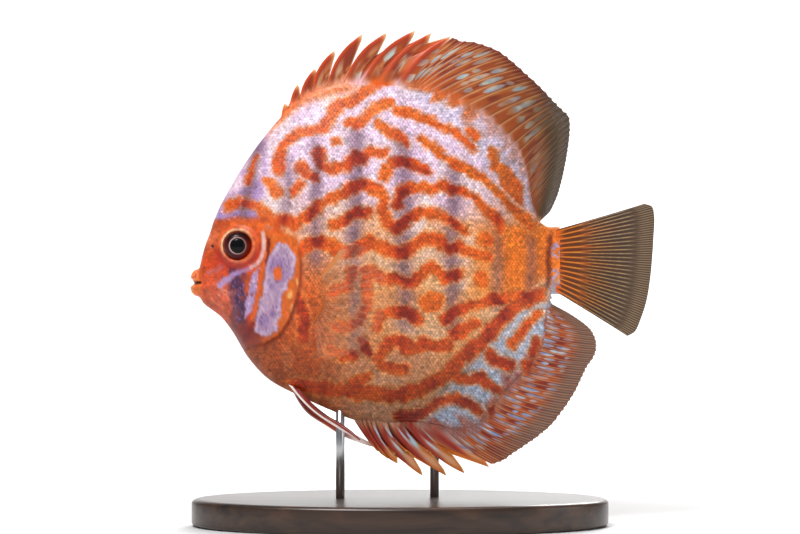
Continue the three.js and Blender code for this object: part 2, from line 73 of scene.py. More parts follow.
class Profile:
    """A smooth line through points, with no overshoot between them."""

    def __init__(self, points):
        self.x, self.y = np.array(points, float).T
        slope = np.diff(self.y) / np.diff(self.x)
        before, after = slope[:-1], slope[1:]
        same = before * after > 0
        inner = np.where(same, 2 * before * after / np.where(same, before + after, 1), 0)
        self.tangent = np.concatenate([slope[:1], inner, slope[-1:]])

    def __call__(self, x):
        i = np.clip(np.searchsorted(self.x, x) - 1, 0, len(self.x) - 2)
        span = self.x[i + 1] - self.x[i]
        t = np.clip((x - self.x[i]) / span, 0, 1)
        return (
            (2 * t**3 - 3 * t**2 + 1) * self.y[i]
            + (t**3 - 2 * t**2 + t) * span * self.tangent[i]
            + (3 * t**2 - 2 * t**3) * self.y[i + 1]
            + (t**3 - t**2) * span * self.tangent[i + 1]
        )


# Outlines shared with the solids
back_line = Profile([
    (0, -6.2), (0.3, -4.6), (1.5, -3.0), (3.1, -2.3), (4.1, 1.4), (5.3, 5.8), (6.9, 10), (8.5, 14.9),
    (10.7, 20), (14.3, 26.6), (17.9, 32.8), (25.1, 43.1), (32.4, 51.8), (40.5, 58.3), (46.7, 60.8),
    (55.7, 62.6), (68.3, 61.9), (79.1, 58.3), (89.9, 51.1), (98.9, 41.4), (112.5, 27.4), (119.4, 20.5),
    (126.6, 13.9), (129.1, 12.6), (BODY_END, 12.6),
])
belly_line = Profile([
    (0, -9.2), (0.3, -10.6), (1.5, -12), (3.1, -12.6), (4.9, -15), (8.9, -18), (11.2, -19.9),
    (15, -24.8), (21.1, -34.8), (28.7, -42.6), (38, -47.6), (51.2, -53.6), (60.3, -57), (68.3, -57.2),
    (75.5, -55.4), (84.5, -51.8), (93.5, -46.4), (100.7, -40.3), (107.9, -33.1), (115.1, -24.8),
    (121.5, -16.9), (126.9, -11.9), (130.2, -11.5), (BODY_END, -11.7),
])
half_width = Profile([
    (0, 1.6), (0.3, 2.6), (1.5, 3.9), (3.1, 4.0), (4.4, 4.8), (8.9, 7.0), (15, 9.6), (22, 11.4),
    (30, 12.7), (38, 13.4), (50, 13.6), (65, 13), (80, 11.6), (95, 9.2), (110, 6.2), (122, 3.9),
    (128, 3.1), (BODY_END, 2.4),
])
# How far the scaled sheath at the foot of the fin reaches above the back and below the belly
sheath_above = Profile([
    (0, 0), (31, 0), (36, 0.8), (46, 1.6), (63, 2.2), (68.3, 2.2), (75.5, 3.7), (88.1, 8.8),
    (99.2, 14.9), (109.3, 19.3), (116.6, 19.2), (119.6, 16.5), (121.4, 12.4), (123.2, 2.6), (125.4, 0),
    (BODY_END, 0),
])
sheath_below = Profile([
    (0, 0), (66, 0), (72, 1.4), (79.4, 3.6), (88.8, 9.3), (97.6, 17.6), (105, 21), (113.1, 19.8),
    (121.6, 20.8), (125.6, 18.5), (127.2, 14.5), (128.6, 4), (130.4, 0), (BODY_END, 0),
])


def smooth(low, high, value):
    t = np.clip((value - low) / (high - low), 0, 1)
    return t * t * (3 - 2 * t)


def fall(low, high, value):
    return 1 - smooth(low, high, value)


def bump(distance, width):
    return np.exp(-((distance / width) ** 2))


def spot(x, z, center, width):
    return bump(np.hypot(x - center[0], z - center[1]), width)


def line_distance(points, x, z):
    """Distance to an open line, positive on its right-hand side."""
    best, sign = np.full(np.shape(x), np.inf), np.ones(np.shape(x))
    for (ax, az), (bx, bz) in zip(points[:-1], points[1:]):
        dx, dz = bx - ax, bz - az
        t = np.clip(((x - ax) * dx + (z - az) * dz) / (dx * dx + dz * dz + 1e-9), 0, 1)
        d = np.hypot(x - ax - t * dx, z - az - t * dz)
        closer = d < best - 1e-9
        best = np.where(closer, d, best)
        sign = np.where(closer, np.where((z - az) * dx - (x - ax) * dz >= 0, 1, -1), sign)
    return best * sign


def on_line(points, x, z, inner, outer):
    """1 on a line, falling to 0 at its outer reach."""
    return fall(inner, outer, np.abs(line_distance(points, x, z)))


def polygon_distance(points, x, z):
    """Signed distance to a closed outline, negative inside."""
    ring = [*points, points[0]]
    inside = np.zeros(np.shape(x), bool)
    for (ax, az), (bx, bz) in zip(ring[:-1], ring[1:]):
        if az != bz:
            inside ^= ((az > z) != (bz > z)) & (x < (bx - ax) * (z - az) / (bz - az) + ax)
    return np.where(inside, -1, 1) * np.abs(line_distance(ring, x, z))


def hashed(ix, iz, seed):
    """A repeatable number between 0 and 1 for a cell."""
    n = (ix * 374761393 + iz * 668265263 + seed * 1274126177) & 0x7FFFFFFF
    n = ((n ^ (n >> 13)) * 1103515245) & 0x7FFFFFFF
    return ((n ^ (n >> 16)) & 0xFFFF) / 65535.0


def noise(x, z, seed):
    """Smooth value noise between 0 and 1."""
    fx, fz = np.floor(x), np.floor(z)
    ix, iz = fx.astype(np.int64), fz.astype(np.int64)
    tx, tz = x - fx, z - fz
    tx, tz = tx * tx * (3 - 2 * tx), tz * tz * (3 - 2 * tz)
    low = hashed(ix, iz, seed) * (1 - tx) + hashed(ix + 1, iz, seed) * tx
    high = hashed(ix, iz + 1, seed) * (1 - tx) + hashed(ix + 1, iz + 1, seed) * tx
    return low * (1 - tz) + high * tz


def wobble(x, z, seed, size, size_z=None):
    """Noise between -1 and 1 whose cells have a size."""
    return 2 * noise(x / size, z / (size_z or size), seed) - 1


def patchy(low, high, x, z, seed):
    return smooth(low, high, noise(x, z, seed))


def relief(x, z):
    """Small forms raised on the side: gill cover, cheek crest, rim of the orbit, lips."""
    gill = line_distance(GILL_EDGE, x, z)
    below = fall(12, 30, z)
    rise = 0.9 * below * smooth(-16, -0.9, gill) * fall(-0.15, 0.35, gill)
    rise -= 0.3 * below * fall(0.6, 3.6, gill) * smooth(-0.1, 0.5, gill)
    crest = line_distance(CHEEK_CREST, x, z)
    reach = smooth(-28, -20, z) * fall(8, 12, z)
    rise += reach * (0.55 * bump(crest + 0.7, 1.26) - 0.6 * bump(crest - 1.2, 0.7))
    orbit = np.hypot(x - EYE[0], z - EYE[1])
    rise += 0.75 * bump(orbit - EYE_RADIUS - 0.75, 0.75) - 0.35 * bump(orbit - 8.2, 1.1)
    rise -= 2.6 * fall(EYE_RADIUS - 0.55, EYE_RADIUS + 0.35, orbit)
    rise += 0.5 * fall(1.6, 3.6, x) * smooth(0.2, 1.4, x)
    nostril = np.hypot(x - NOSTRIL[0], z - NOSTRIL[1])
    rise += 0.22 * bump(nostril - 0.95, 0.35) - 0.5 * bump(nostril, 0.5)
    folds = np.sin(2.3 * gill + 1.2 * wobble(x, z, 81, 5))
    rise += 0.16 * folds * below * bump(gill + 4.2, 3.0) * smooth(-26, -12, z)
    rise += 0.14 * wobble(x, z, 82, 3.1) * smooth(4, 8, x) * fall(26, 34, x)
    rise -= 0.9 * bump(z - CLEFT_Z, 0.45) * fall(2.4, 4.6, x)
    rise -= 0.45 * bump(x - 4.6, 0.8) * bump(z - CLEFT_Z, 4.6)
    return np.where(x < 60, rise, 0)


def behind_lips(x, z):
    """The front of the snout drawn back between the lips."""
    return x + CLEFT_DEPTH * fall(0.15, 1.7, np.abs(z - CLEFT_Z)) * (1 - np.clip(x / 7, 0, 1)) ** 2


def outer_lines(x):
    return back_line(x) + sheath_above(x), belly_line(x) - sheath_below(x)


def thickness(x, z):
    """Half thickness of the body and of the sheaths of its fins."""
    top, bottom = back_line(x), belly_line(x)
    u = np.clip((2 * z - top - bottom) / (top - bottom), -1, 1)
    lens = half_width(x) * np.maximum(1 - u * u, 0) ** 0.72
    lens = lens + relief(x, z) * smooth(0, 0.12, 1 - np.abs(u))
    above, below = sheath_above(x), sheath_below(x)
    up = np.clip((z - top) / np.maximum(above, 0.4), 0, 1)
    down = np.clip((bottom - z) / np.maximum(below, 0.4), 0, 1)
    core = np.minimum(half_width(x) * 0.55, 1.35)
    skirt = core * (1 - 0.68 * np.maximum(up, down) ** 0.7)
    skirt = skirt * smooth(0, 1.6, np.where(z > (top + bottom) / 2, above, below))
    edge = np.minimum(top + above - z, z - bottom + below)
    return (lens**3 + skirt**3) ** (1 / 3) * np.sqrt(np.clip(edge / 0.45, 0, 1))


def place(x, y, z):
    return np.stack([(SNOUT_X + x) * MM, y * MM, (MIDLINE_Z + z) * MM], axis=-1)


# Paints, as they look on the fish, and how much richer and deeper the shader takes them
RICHNESS = 1.1
DEEPNESS = 1.1
LAVENDER = (238, 210, 232)
LILAC = (176, 156, 200)
TAN = (226, 180, 140)
PALE = (242, 222, 216)
ORANGE = (228, 122, 44)
DEEP_ORANGE = (196, 78, 28)
BLOOD = (142, 40, 18)
HALO = (236, 160, 92)
BAR = (112, 84, 104)
FACE = (198, 86, 42)
LIP = (236, 132, 66)
THROAT = (156, 74, 42)
VIOLET = (88, 50, 90)

# Wavy markings: width, depth of colour, and middle line
STROKES = [
    # nape, shoulder and crown
    (3.2, 0.35, [(32.5, 33), (32.5, 38), (33.5, 41.5), (36.5, 44), (40, 46), (44.5, 47), (48.5, 48),
        (50.5, 51), (51.5, 54.5), (54.5, 56.5), (59, 58), (63, 61), (67.5, 63.5), (72, 65.5)]),
    (3.2, 0.3, [(52.5, 43), (53, 43)]),
    (2.9, 0.35, [(57.5, 49.5), (61.5, 49.5), (64, 53), (68, 56), (72, 57.5)]),
    (2.9, 0.3, [(67.5, 49.5), (71, 47), (75, 45.5), (77.5, 42.5)]),
    (3.2, 0.5, [(40, 34), (42.5, 31.5), (45, 30)]),
    (3.2, 0.5, [(46.5, 39), (47.5, 34.5), (51.5, 33), (56, 34), (58.5, 37.5), (62.5, 36.5), (65, 40),
        (69, 39)]),
    (3.2, 0.45, [(33.5, 15), (38, 13), (42.5, 16), (46.5, 19.5), (51, 22.5), (56.5, 25.5), (61.5, 27.5),
        (66.5, 26), (69.5, 23), (69.5, 18), (71, 14), (73.5, 11.5), (76.5, 13.5), (80, 16.5),
        (82.5, 18), (87, 17), (91.5, 16), (95.5, 13.5), (98.5, 11)]),
    (3.2, 0.6, [(52.5, 13.5), (56.5, 15), (59.5, 17.5), (64.5, 17.5)]),
    (2.5, 0.3, [(70.5, 33), (70, 30)]),
    (3.2, 0.6, [(73, 35.5), (76, 36), (80.5, 35), (85, 33)]),
    (2.9, 0.4, [(74.5, 20.5), (75.5, 24.5), (78.5, 26.5), (83, 26.5), (87, 26), (90, 28), (93.5, 26.5),
        (98, 25.5), (101.5, 23.5), (105.5, 19.5), (109.5, 16), (111.5, 12)]),
    (2.7, 0.3, [(28.5, 29), (30.6, 26.2), (32, 24.6)]),
    (2.7, 0.3, [(40.4, 27.8), (39, 25.8), (37.9, 24.6)]),
    (2.6, 0.35, [(27.5, 9.5), (30.5, 10.5), (34, 9), (37, 7)]),
    (2.9, 0.35, [(20.5, 21), (24.5, 19.5), (28, 17), (31, 13.5)]),
    (3.2, 0.4, [(14, 20), (17, 21)]),
    (1.8, 0.2, [(23.5, 37.5), (22.5, 33), (21, 29)]),
    # foot of the dorsal fin
    (2.9, 0.35, [(74.5, 54.5), (79, 53.5), (83, 52), (87, 50.5), (91.5, 48.5), (94, 47), (98, 44.5),
        (101.5, 41.5)]),
    (3.6, 0.35, [(101, 46.5), (102.5, 45.5)]),
    (2.9, 0.3, [(83, 44.5), (87, 41), (91.5, 38), (95.5, 35), (100, 33), (105, 30), (109.5, 26.5),
        (114.5, 21), (118.5, 17), (123, 12.5)]),
    (3.6, 0.3, [(109, 39), (110, 35), (112.5, 33), (115, 30), (117.5, 26.5)]),
    # lower flank
    (3.6, 0.45, [(40.5, 4.5), (45, 7), (50.5, 6), (55.5, 3), (61, 4.5), (65, 7), (70, 4.5), (76, 3),
        (79.5, 4.5), (84, 8), (89, 7.5), (93, 4.5), (96.5, 6)]),
    (3.2, 0.5, [(58.5, -3), (57, -8), (54, -9.5), (51, -11.5)]),
    (3.2, 0.5, [(63.5, -3.5), (64, -9.5), (63.5, -16), (61, -21.5), (56.5, -23), (53, -22.5)]),
    (3.2, 0.5, [(65.5, -3.5), (69.5, -6), (75.5, -7), (80, -7.5), (84, -3), (87.5, -2), (92, -6),
        (96, -4.5)]),
    (3.2, 0.55, [(51, -31), (54, -33.5), (58.5, -33.5)]),
    (2.9, 0.8, [(62, -28), (64.5, -32.5)]),
    (3.6, 0.5, [(67, -23), (68.5, -19), (73, -17.5), (78, -18), (82, -20.5)]),
    (3.6, 0.6, [(68, -34.5), (71, -29), (75, -28), (79.5, -31.5), (84, -29), (89, -30.5), (92, -29.5)]),
    (2.9, 0.65, [(68.5, -36.5), (73, -38), (77.5, -38.5)]),
    (2.9, 0.55, [(58.5, -43), (63.5, -41)]),
    (5.8, 0.25, [(86, -14.5), (87.5, -14.5)]),
    (3.2, 0.5, [(95, -26), (99, -24), (102.5, -22)]),
    (3.2, 0.55, [(91.5, -20.5), (94.5, -18), (98, -16), (103, -15), (108, -13.5), (113.5, -13),
        (118.5, -12)]),
    (4.3, 0.3, [(105, 8.5), (106.5, 8)]),
    (4.3, 0.35, [(104, -5.5), (104.5, -7)]),
    (3.6, 0.3, [(98, 4.5), (102, 3), (106.5, 2)]),
    # belly and foot of the anal fin
    (3.2, 0.55, [(125, -19), (122, -21.5), (118.5, -26), (115.5, -29)]),
    (3.6, 0.7, [(108, -33.5), (110.5, -35.5), (114.5, -37.5)]),
    (2.9, 0.8, [(124, -29), (123.5, -32.5)]),
    (2.9, 0.8, [(121, -37), (126, -38)]),
    (3.1, 0.8, [(97, -41.5), (100.5, -42), (104.5, -41.5), (107.5, -44.5), (110.5, -46)]),
    (3.3, 0.85, [(75.5, -55.5), (80, -56), (84, -54.5), (89, -50.5), (94, -49), (99, -50),
        (103.5, -53)]),
    (2.6, 0.9, [(109, -53.5), (112.5, -51), (118.5, -52), (123, -50.5)]),
    (4.3, 0.7, [(38, -44), (45, -45), (54, -46), (62, -47), (70, -48), (76.5, -47.5), (82.5, -45.5),
        (89, -42.5), (94.5, -39), (98.5, -34), (103, -30), (108, -25), (112, -20.5), (116.5, -16),
        (121.5, -13.5), (126, -11.5)]),
    (3.6, 0.8, [(39.5, -13.5), (41.5, -21), (41, -27.5)]),
]
# How much wider the painted strokes are than their widths, and how soft their edges
STROKE_SPREAD = 1.2
STROKE_SOFT = 0.95
# Soft upright bars: place along the body, lean, half width, lowest and highest point, strength
BARS = [
    (19.4, 0.2, 2.5, 15, 44, 0.74), (34.8, 0.05, 2.4, 12, 38, 0.5), (45.6, 0, 2.5, -2, 44, 0.6),
    (60, 0, 3.0, -34, 48, 0.68), (77, 0, 3.5, -24, 46, 0.66), (94.3, 0, 3.1, -26, 34, 0.66),
    (110.4, 0, 2.7, -18, 18, 0.46), (122.3, 0, 2.5, -12, 10, 0.5),
]
GILL_PATCH = [
    (32.5, 7.2), (36, 6), (38.8, 1.6), (38.2, -3.4), (35.4, -9.2), (33.6, -13.5), (33.2, -20),
    (31.2, -24.6), (27, -26.6), (23.4, -25), (23.4, -21), (26.6, -10), (28.4, 1.2),
]
GILL_SPOT = (32.2, -4.1)
GILL_GROOVE = [(28.6, 8), (28.5, 3), (27.9, 0)]
# Wet gleams behind the gill patch: place and size
GLEAMS = [(36.4, -11.6, 1.0), (37.3, -16.6, 1.2), (38.6, -6.6, 0.8)]
BROW_BAND = [(10, 15), (14.5, 17.2), (19.8, 17.8), (24.4, 15.4), (27.5, 13.4), (31, 12.6)]
CREST_SWEEP = [
    (26.8, 10.4), (27.1, 7.5), (27, 4.8), (26.4, 2.2), (25.4, 0.2), (24, -1), (22.4, -1.8),
]
LILAC_SWEEP = [(22.4, -1.8), (20, -2.6), (17.8, -3.4), (15.4, -4.9), (13.2, -6.4), (11.2, -8.6)]
SNOUT_SWEEP = [(7, -4), (10, -3), (12.5, -1.2)]
CHEEK_PATCH = [
    (25.6, -1.8), (24.6, -9.8), (22.4, -18), (20, -20.4), (19.6, -15.4), (21.6, -9.8), (22.6, -5.4),
]
CHEEK_SEAM = [(28, 1), (26.6, -7), (25.2, -14), (23.4, -21)]


def flat(paint, like):
    """One paint at every point."""
    return np.broadcast_to(np.array(paint) / 255, (*np.shape(like), 3))


def laid(colour, *coats):
    """Coats laid over a colour in turn, each a paint and how much of it shows."""
    for paint, amount in coats:
        if isinstance(paint, tuple):
            paint = np.array(paint) / 255
        colour = colour + (paint - colour) * np.clip(amount, 0, 1)[..., None]
    return colour


def shaded(colour, amount):
    return np.clip(colour * (1 + amount[..., None]), 0, 1)


HALO_REACH = 2.1


def stroke_mask(width, points, x, z):
    """How much of a stroke's colour a point takes, and how much of its warm halo."""
    half = width / 2 * STROKE_SPREAD
    (low_x, low_z), (high_x, high_z) = np.min(points, axis=0), np.max(points, axis=0)
    reach = half + HALO_REACH + 0.4
    near = (x > low_x - reach) & (x < high_x + reach) & (z > low_z - reach) & (z < high_z + reach)
    body, halo = np.zeros(x.shape), np.zeros(x.shape)
    if near.any():
        distance = np.abs(line_distance(points, x[near], z[near])) - 0.5 * wobble(x[near], z[near], 33, 5.5)
        body[near] = fall(half - STROKE_SOFT, half + STROKE_SOFT, distance)
        halo[near] = fall(half - 0.5, half + HALO_REACH, distance)
    return body, halo


def warped(x, z, broad, fine):
    """Places moved a little, which gives the markings uneven edges."""
    return (
        x + broad * wobble(x, z, 3, 2.4) + fine * wobble(x, z, 4, 0.7),
        z + broad * wobble(x, z, 5, 2.4) + fine * wobble(x, z, 6, 0.7),
    )


def ground_paint(x, z, wx, wz):
    """The pale ground of the flank, warmer towards the breast and the tail."""
    high = smooth(-10, 34, z + 7 * wobble(x, z, 11, 16))
    pale = patchy(0.5, 0.8, x / 7, z / 7, 12) * smooth(-34, -6, z) * fall(96, 112, x)
    haze = patchy(0.35, 0.75, x / 8, z / 6, 13) * fall(8, 30, z) * smooth(46, 60, x)
    rear = smooth(94, 116, x + 4 * wobble(x, z, 14, 5)) * fall(11, 17, np.abs(z))
    low = smooth(-14, -44, z) * fall(70, 110, x)
    breast = smooth(-10, -28, z) * fall(44, 64, x)
    blotch = patchy(0.55, 0.8, x / 3.2, z / 4.2, 15) * smooth(-24, -34, z)
    crown = patchy(0.4, 0.8, x / 4, z / 4, 16) * fall(24, 30, x) * smooth(14, 18, z)
    back = bump(back_line(x) - z, 2.6) * smooth(24, 34, x) * fall(54, 66, x)
    return laid(
        flat(TAN, x), (LAVENDER, high), (PALE, 0.6 * pale), ((222, 138, 70), 0.45 * haze),
        ((228, 122, 36), 0.92 * rear), ((216, 158, 126), 0.7 * low), ((170, 84, 40), 0.92 * breast),
        ((206, 140, 104), 0.5 * blotch), ((206, 88, 22), 0.9 * spot(x, z / 2, (42, -7.5), 9)),
        ((170, 88, 42), 0.55 * spot(x, z, (52, -17), 15)),
        ((166, 146, 204), 0.85 * on_line(BROW_BAND, wx, wz, 1.1, 2.5)),
        ((172, 140, 196), 0.7 * crown), ((224, 112, 44), 0.8 * back),
    )


def sheath_paint(colour, x, z):
    """The scaled foot of the fins: pale with the fins' own colours running down into it."""
    above, below = z - back_line(x), belly_line(x) - z
    spread = sheath_above(x)
    run = smooth(0.45, 1.0, above / np.maximum(spread, 1) + 0.3 * wobble(x - z, x + z, 17, 2.4, 9))
    run = run * (1 - 0.6 * smooth(98, 106, x)) * smooth(3, 6, spread) * (above > 0)
    rear_patch = fall(0.75, 1.2, np.hypot((x - 115.4 + 0.35 * (z - 27)) / 3.6, (z - 27) / 8))
    low = np.maximum(smooth(-1.5, 3.5, below) * smooth(68, 80, x), smooth(-9, 0, below) * smooth(82, 98, x))
    spread = sheath_below(x)
    low_run = smooth(0.6, 1.0, below / np.maximum(spread, 1) + 0.25 * wobble(x + z, x - z, 18, 2.4, 9))
    return laid(
        colour, ((212, 204, 226), 0.6 * smooth(-1.5, 3, above) * smooth(70, 84, x)),
        ((206, 98, 30), 0.85 * run), ((206, 88, 14), 0.9 * rear_patch * (above > -1)),
        ((184, 196, 220), 0.92 * low),
        ((170, 58, 22), 0.6 * low_run * smooth(3, 6, spread) * (below > 0)),
    )


def bar_amount(x, z):
    amount = np.zeros(np.shape(x))
    for at, lean, width, low, high, strength in BARS:
        sway = 0.9 * (2 * noise(z / 9, at, 21) - 1) + lean * (z - low)
        reach = smooth(low - 4, low + 4, z) * fall(high - 4, high + 4, z)
        amount = np.maximum(amount, strength * reach * bump(x - at - sway, width))
    return amount


def flank_paint(x, z, side):
    wx, wz = warped(x, z, 0.7, 0.5)
    if side == RIGHT:
        far = 2.6 * smooth(30, 48, x)
        wx, wz = wx + far * wobble(x, z, 7, 21), wz + far * wobble(x, z, 8, 21)
    bars = bar_amount(x, z)
    colour = laid(sheath_paint(ground_paint(x, z, wx, wz), x, z), (BAR, bars))
    body, halo, depth = np.zeros((3, *np.shape(x)))
    for width, stroke_depth, points in STROKES:
        own, glow = stroke_mask(width, points, wx, wz)
        depth = np.where(own > body, stroke_depth, depth)
        body, halo = np.maximum(body, own), np.maximum(halo, glow)
    depth = np.clip(depth + 0.95 * bars + 0.25 * wobble(x, z, 31, 4) - 0.06, 0, 1)
    orange = laid(flat(ORANGE, x), (DEEP_ORANGE, depth * 1.35), (BLOOD, smooth(0.62, 1, depth)))
    return laid(colour, (HALO, 0.6 * halo * (1 - smooth(4, 40, z) * 0.55)), (orange, 0.96 * body))


def face_paint(x, z, wz):
    chin = spot(x, z, (12, -12.5), 5.5)
    # The pale pink streaks over the chin are painted highlights; the chin's own tone is the pinkish spot
    # under them
    streak = patchy(0.55, 0.85, (x + z) / 1.3, (x - z) / 4.5, 91)
    colour = laid(
        flat(FACE, x), ((184, 60, 28), 0.75 * spot(x, z, (12.5, -0.5), 5.5)),
        # Painted highlight: a pale pink patch on top of the snout
        ((224, 134, 92), 0.7 * spot(x, z, (8.8, 8.5), 4.5)),
        ((218, 112, 44), 0.8 * bump(z - 13.2, 1.6) * smooth(12, 16, x)),
        ((208, 106, 84), 0.75 * chin), ((238, 168, 146), 0.55 * streak * chin),
    )
    colour = shaded(colour, 0.12 * (wobble(x, z, 43, 2.6) + 0.6 * wobble(x, z, 92, 0.9)))
    # Painted shade: the crease between the lips drawn almost black
    cleft = bump(z - CLEFT_Z, 0.5) * fall(2.6, 4.4, x)
    return laid(
        colour, (LIP, fall(2.2, 5.5, x)), ((250, 178, 130), 0.7 * fall(0.2, 1.6, x)),
        ((52, 14, 8), 0.95 * cleft), (THROAT, smooth(-21, -28, wz)),
    )


def cheek_paint(colour, x, z, wx, wz, grain):
    """The dark bar below the eye, the lilac sweep across it and the patch behind it."""
    shade = fall(1.7, 3.7, np.abs(wx - 17.6)) * smooth(-25, -20, wz) * fall(-2.4, -0.9, wz)
    shade = shade * (0.55 + 0.45 * patchy(0.2, 0.6, x / 1.6, z / 2.6, 44))
    patch = fall(-0.5, 0.3, polygon_distance(CHEEK_PATCH, wx, wz))
    lilac = laid(flat(LILAC, x), ((222, 196, 220), smooth(0.2, 0.9, grain)))
    return laid(
        colour, ((212, 112, 40), 0.85 * smooth(24, 28, wx) * fall(8, 14, wz)),
        ((118, 28, 26), 0.92 * bump(np.hypot((wx - 20.5) * 0.7, wz + 25), 4.2)),
        ((172, 138, 184), 0.35 * on_line(SNOUT_SWEEP, wx, wz, 0.6, 1.4)), (VIOLET, 0.92 * shade),
        ((38, 20, 44), 0.6 * shade * smooth(0.2, 0.8, -grain)),
        ((176, 154, 212), 0.6 * shade * smooth(0.3, 0.9, grain)),
        ((180, 156, 204), 0.88 * on_line(LILAC_SWEEP, wx, wz, 0.6, 1.6)), (lilac, 0.92 * patch),
        ((214, 104, 34), on_line(CHEEK_SEAM, wx, wz, 0.8, 1.5)),
    )


def opercle_paint(colour, x, z, wx, wz, grain):
    """The pale patch of the gill cover, its orange spot and the wet gleams behind it."""
    distance = polygon_distance(GILL_PATCH, wx, wz)
    pale = laid(
        flat((188, 164, 192), x), ((154, 128, 172), 0.8 * patchy(0.35, 0.8, x / 3, z / 3, 42)),
        ((214, 162, 166), 0.6 * smooth(0.2, 0.9, grain) * smooth(-8, -20, z)),
        ((102, 84, 146), 0.5 * smooth(0.15, 0.8, -grain)),
        ((226, 206, 228), 0.5 * bump(distance + 0.8, 0.6)),
    )
    eyespot = np.hypot((wx - GILL_SPOT[0]) / 1.75, (wz - GILL_SPOT[1]) / 2.9)
    colour = laid(
        colour, (pale, 0.95 * fall(-0.35, 0.35, distance)), ((216, 108, 46), fall(0.75, 1.15, eyespot))
    )
    for gleam_x, gleam_z, size in GLEAMS:
        gleam = np.hypot((wx - gleam_x) / size, (wz - gleam_z) / (1.5 * size))
        colour = laid(colour, ((248, 206, 140), 0.8 * fall(0.4, 1.2, gleam)))
    return laid(
        colour, ((122, 32, 14), 0.9 * on_line(GILL_GROOVE, wx, wz, 0.3, 0.8)),
        ((230, 200, 204), 0.9 * on_line(CREST_SWEEP, x, z, 0.4, 1.05)),
    )


def eye_rim_paint(colour, x, z):
    orbit = np.hypot(x - EYE[0], z - EYE[1])
    angle = np.arctan2(z - EYE[1], x - EYE[0])
    lit = 0.35 + 0.65 * smooth(-0.3, 0.7, np.cos(angle - 2.2))
    nostril = np.hypot(x - NOSTRIL[0], z - NOSTRIL[1])
    pore = patchy(0.84, 0.92, x / 1.1, z / 1.1, 49)
    return laid(
        colour, ((170, 44, 22), 0.8 * bump(orbit - 7.4, 1.3) * smooth(0.4, -0.6, np.sin(angle))),
        ((226, 110, 54), 0.8 * bump(orbit - 6.9, 0.8) * smooth(-0.4, 0.3, np.sin(angle))),
        ((246, 200, 164), lit * bump(orbit - 5.75, 0.6)),
        # Painted shade in the nostril's pit, drawn dark, then the small dark pores of the head
        ((60, 16, 12), 0.9 * fall(0.35, 0.75, nostril)), ((120, 30, 20), 0.45 * pore * fall(22, 27, x)),
    )


def head_paint(x, z):
    grain = wobble(x, z, 47, 0.62)
    wx, wz = warped(x, z, 0.6, 0.3)
    colour = cheek_paint(face_paint(x, z, wz), x, z, wx, wz, grain)
    return eye_rim_paint(opercle_paint(colour, x, z, wx, wz, grain), x, z)


TAIL_BAR_X = 128.9
# Lilac flecks at the foot of the tail fin: heights, and place along the fish
FLECK_HEIGHTS = (4.4, -5.6)
FLECK_X = 131.4


def skin_paint(x, z, side):
    """Colour of the skin and of the scales at a place on one side of the fish."""
    gill = line_distance(GILL_EDGE, x, z)
    brow = smooth(14.2, 17.2, z + 0.5 * wobble(x, z, 46, 2) - 0.05 * (x - 17))
    temple = smooth(26.5, 31, x + wobble(x, z, 50, 2)) * smooth(7.5, 10.5, z)
    behind = smooth(-1, 1, gill / (0.6 + 2.2 * smooth(2, 14, z)))
    # Painted shadow: a soft dark line just behind the rear edge of the gill cover, fading out above the eye
    gill_edge_shadow = bump(gill - 0.4, 0.7) * fall(-4, 9, z) * (0.4 + 0.6 * noise(x / 3, z / 3, 45))
    tail_bar = bump(x - TAIL_BAR_X - 0.5 * (2 * noise(z / 3, 0.0, 53) - 1), 1.0) * fall(8, 11, np.abs(z))
    colour = laid(
        head_paint(x, z), (flank_paint(x, z, side), np.maximum(behind, np.maximum(brow, temple))),
        ((130, 40, 18), 0.6 * gill_edge_shadow), ((104, 40, 20), 0.75 * tail_bar),
    )
    flecks = patchy(0.42, 0.62, x / 0.8, z / 0.8, 54)
    for spot_z in FLECK_HEIGHTS:
        reach = np.hypot((x - FLECK_X) / 1.7, (z - spot_z) / 4.2)
        colour = laid(colour, ((178, 160, 196), 0.85 * flecks * fall(0.7, 1.2, reach)))
    # Painted shade: the upper rear of the body darker, as turned away from the light
    colour = colour * (1 - 0.2 * smooth(92, 124, x) * smooth(4, 22, z))[..., None]
    # Painted shade: the lower body darker towards the belly
    colour = colour * (1 - 0.16 * smooth(-18, -50, z))[..., None]
    grain = wobble(x, z, 51, 0.5) * 0.65 + wobble(x, z, 52, 1.2) * 0.35
    return shaded(colour, 0.22 * (1 - 0.35 * fall(-3, 3, gill)) * grain)


def linear(colour):
    """Richer tones, made linear for the shader."""
    grey = colour.mean(axis=-1, keepdims=True)
    colour = np.clip(grey + (colour - grey) * RICHNESS, 0, 1) ** DEEPNESS
    return np.where(colour <= 0.04045, colour / 12.92, ((colour + 0.055) / 1.055) ** 2.4)


def mesh_object(name, points, faces, colours=None, alpha=1.0):
    mesh = bpy.data.meshes.new(name)
    mesh.from_pydata([tuple(p) for p in points], [], [tuple(int(i) for i in f) for f in faces])
    mesh.validate()
    if colours is not None:
        layer = mesh.color_attributes.new("Paint", "FLOAT_COLOR", "POINT")
        full = np.ones((len(points), 4))
        full[:, :3] = linear(np.asarray(colours))
        full[:, 3] = alpha
        layer.data.foreach_set("color", full.astype(np.float32).ravel())
    mesh.polygons.foreach_set("use_smooth", [True] * len(mesh.polygons))
    item = bpy.data.objects.new(name, mesh)
    bpy.context.scene.collection.objects.link(item)
    return item


def set_inputs(node, values):
    """Sets a node's inputs by name; an underscore stands for a space."""
    for name, value in values.items():
        node.inputs[name.replace("_", " ")].default_value = value


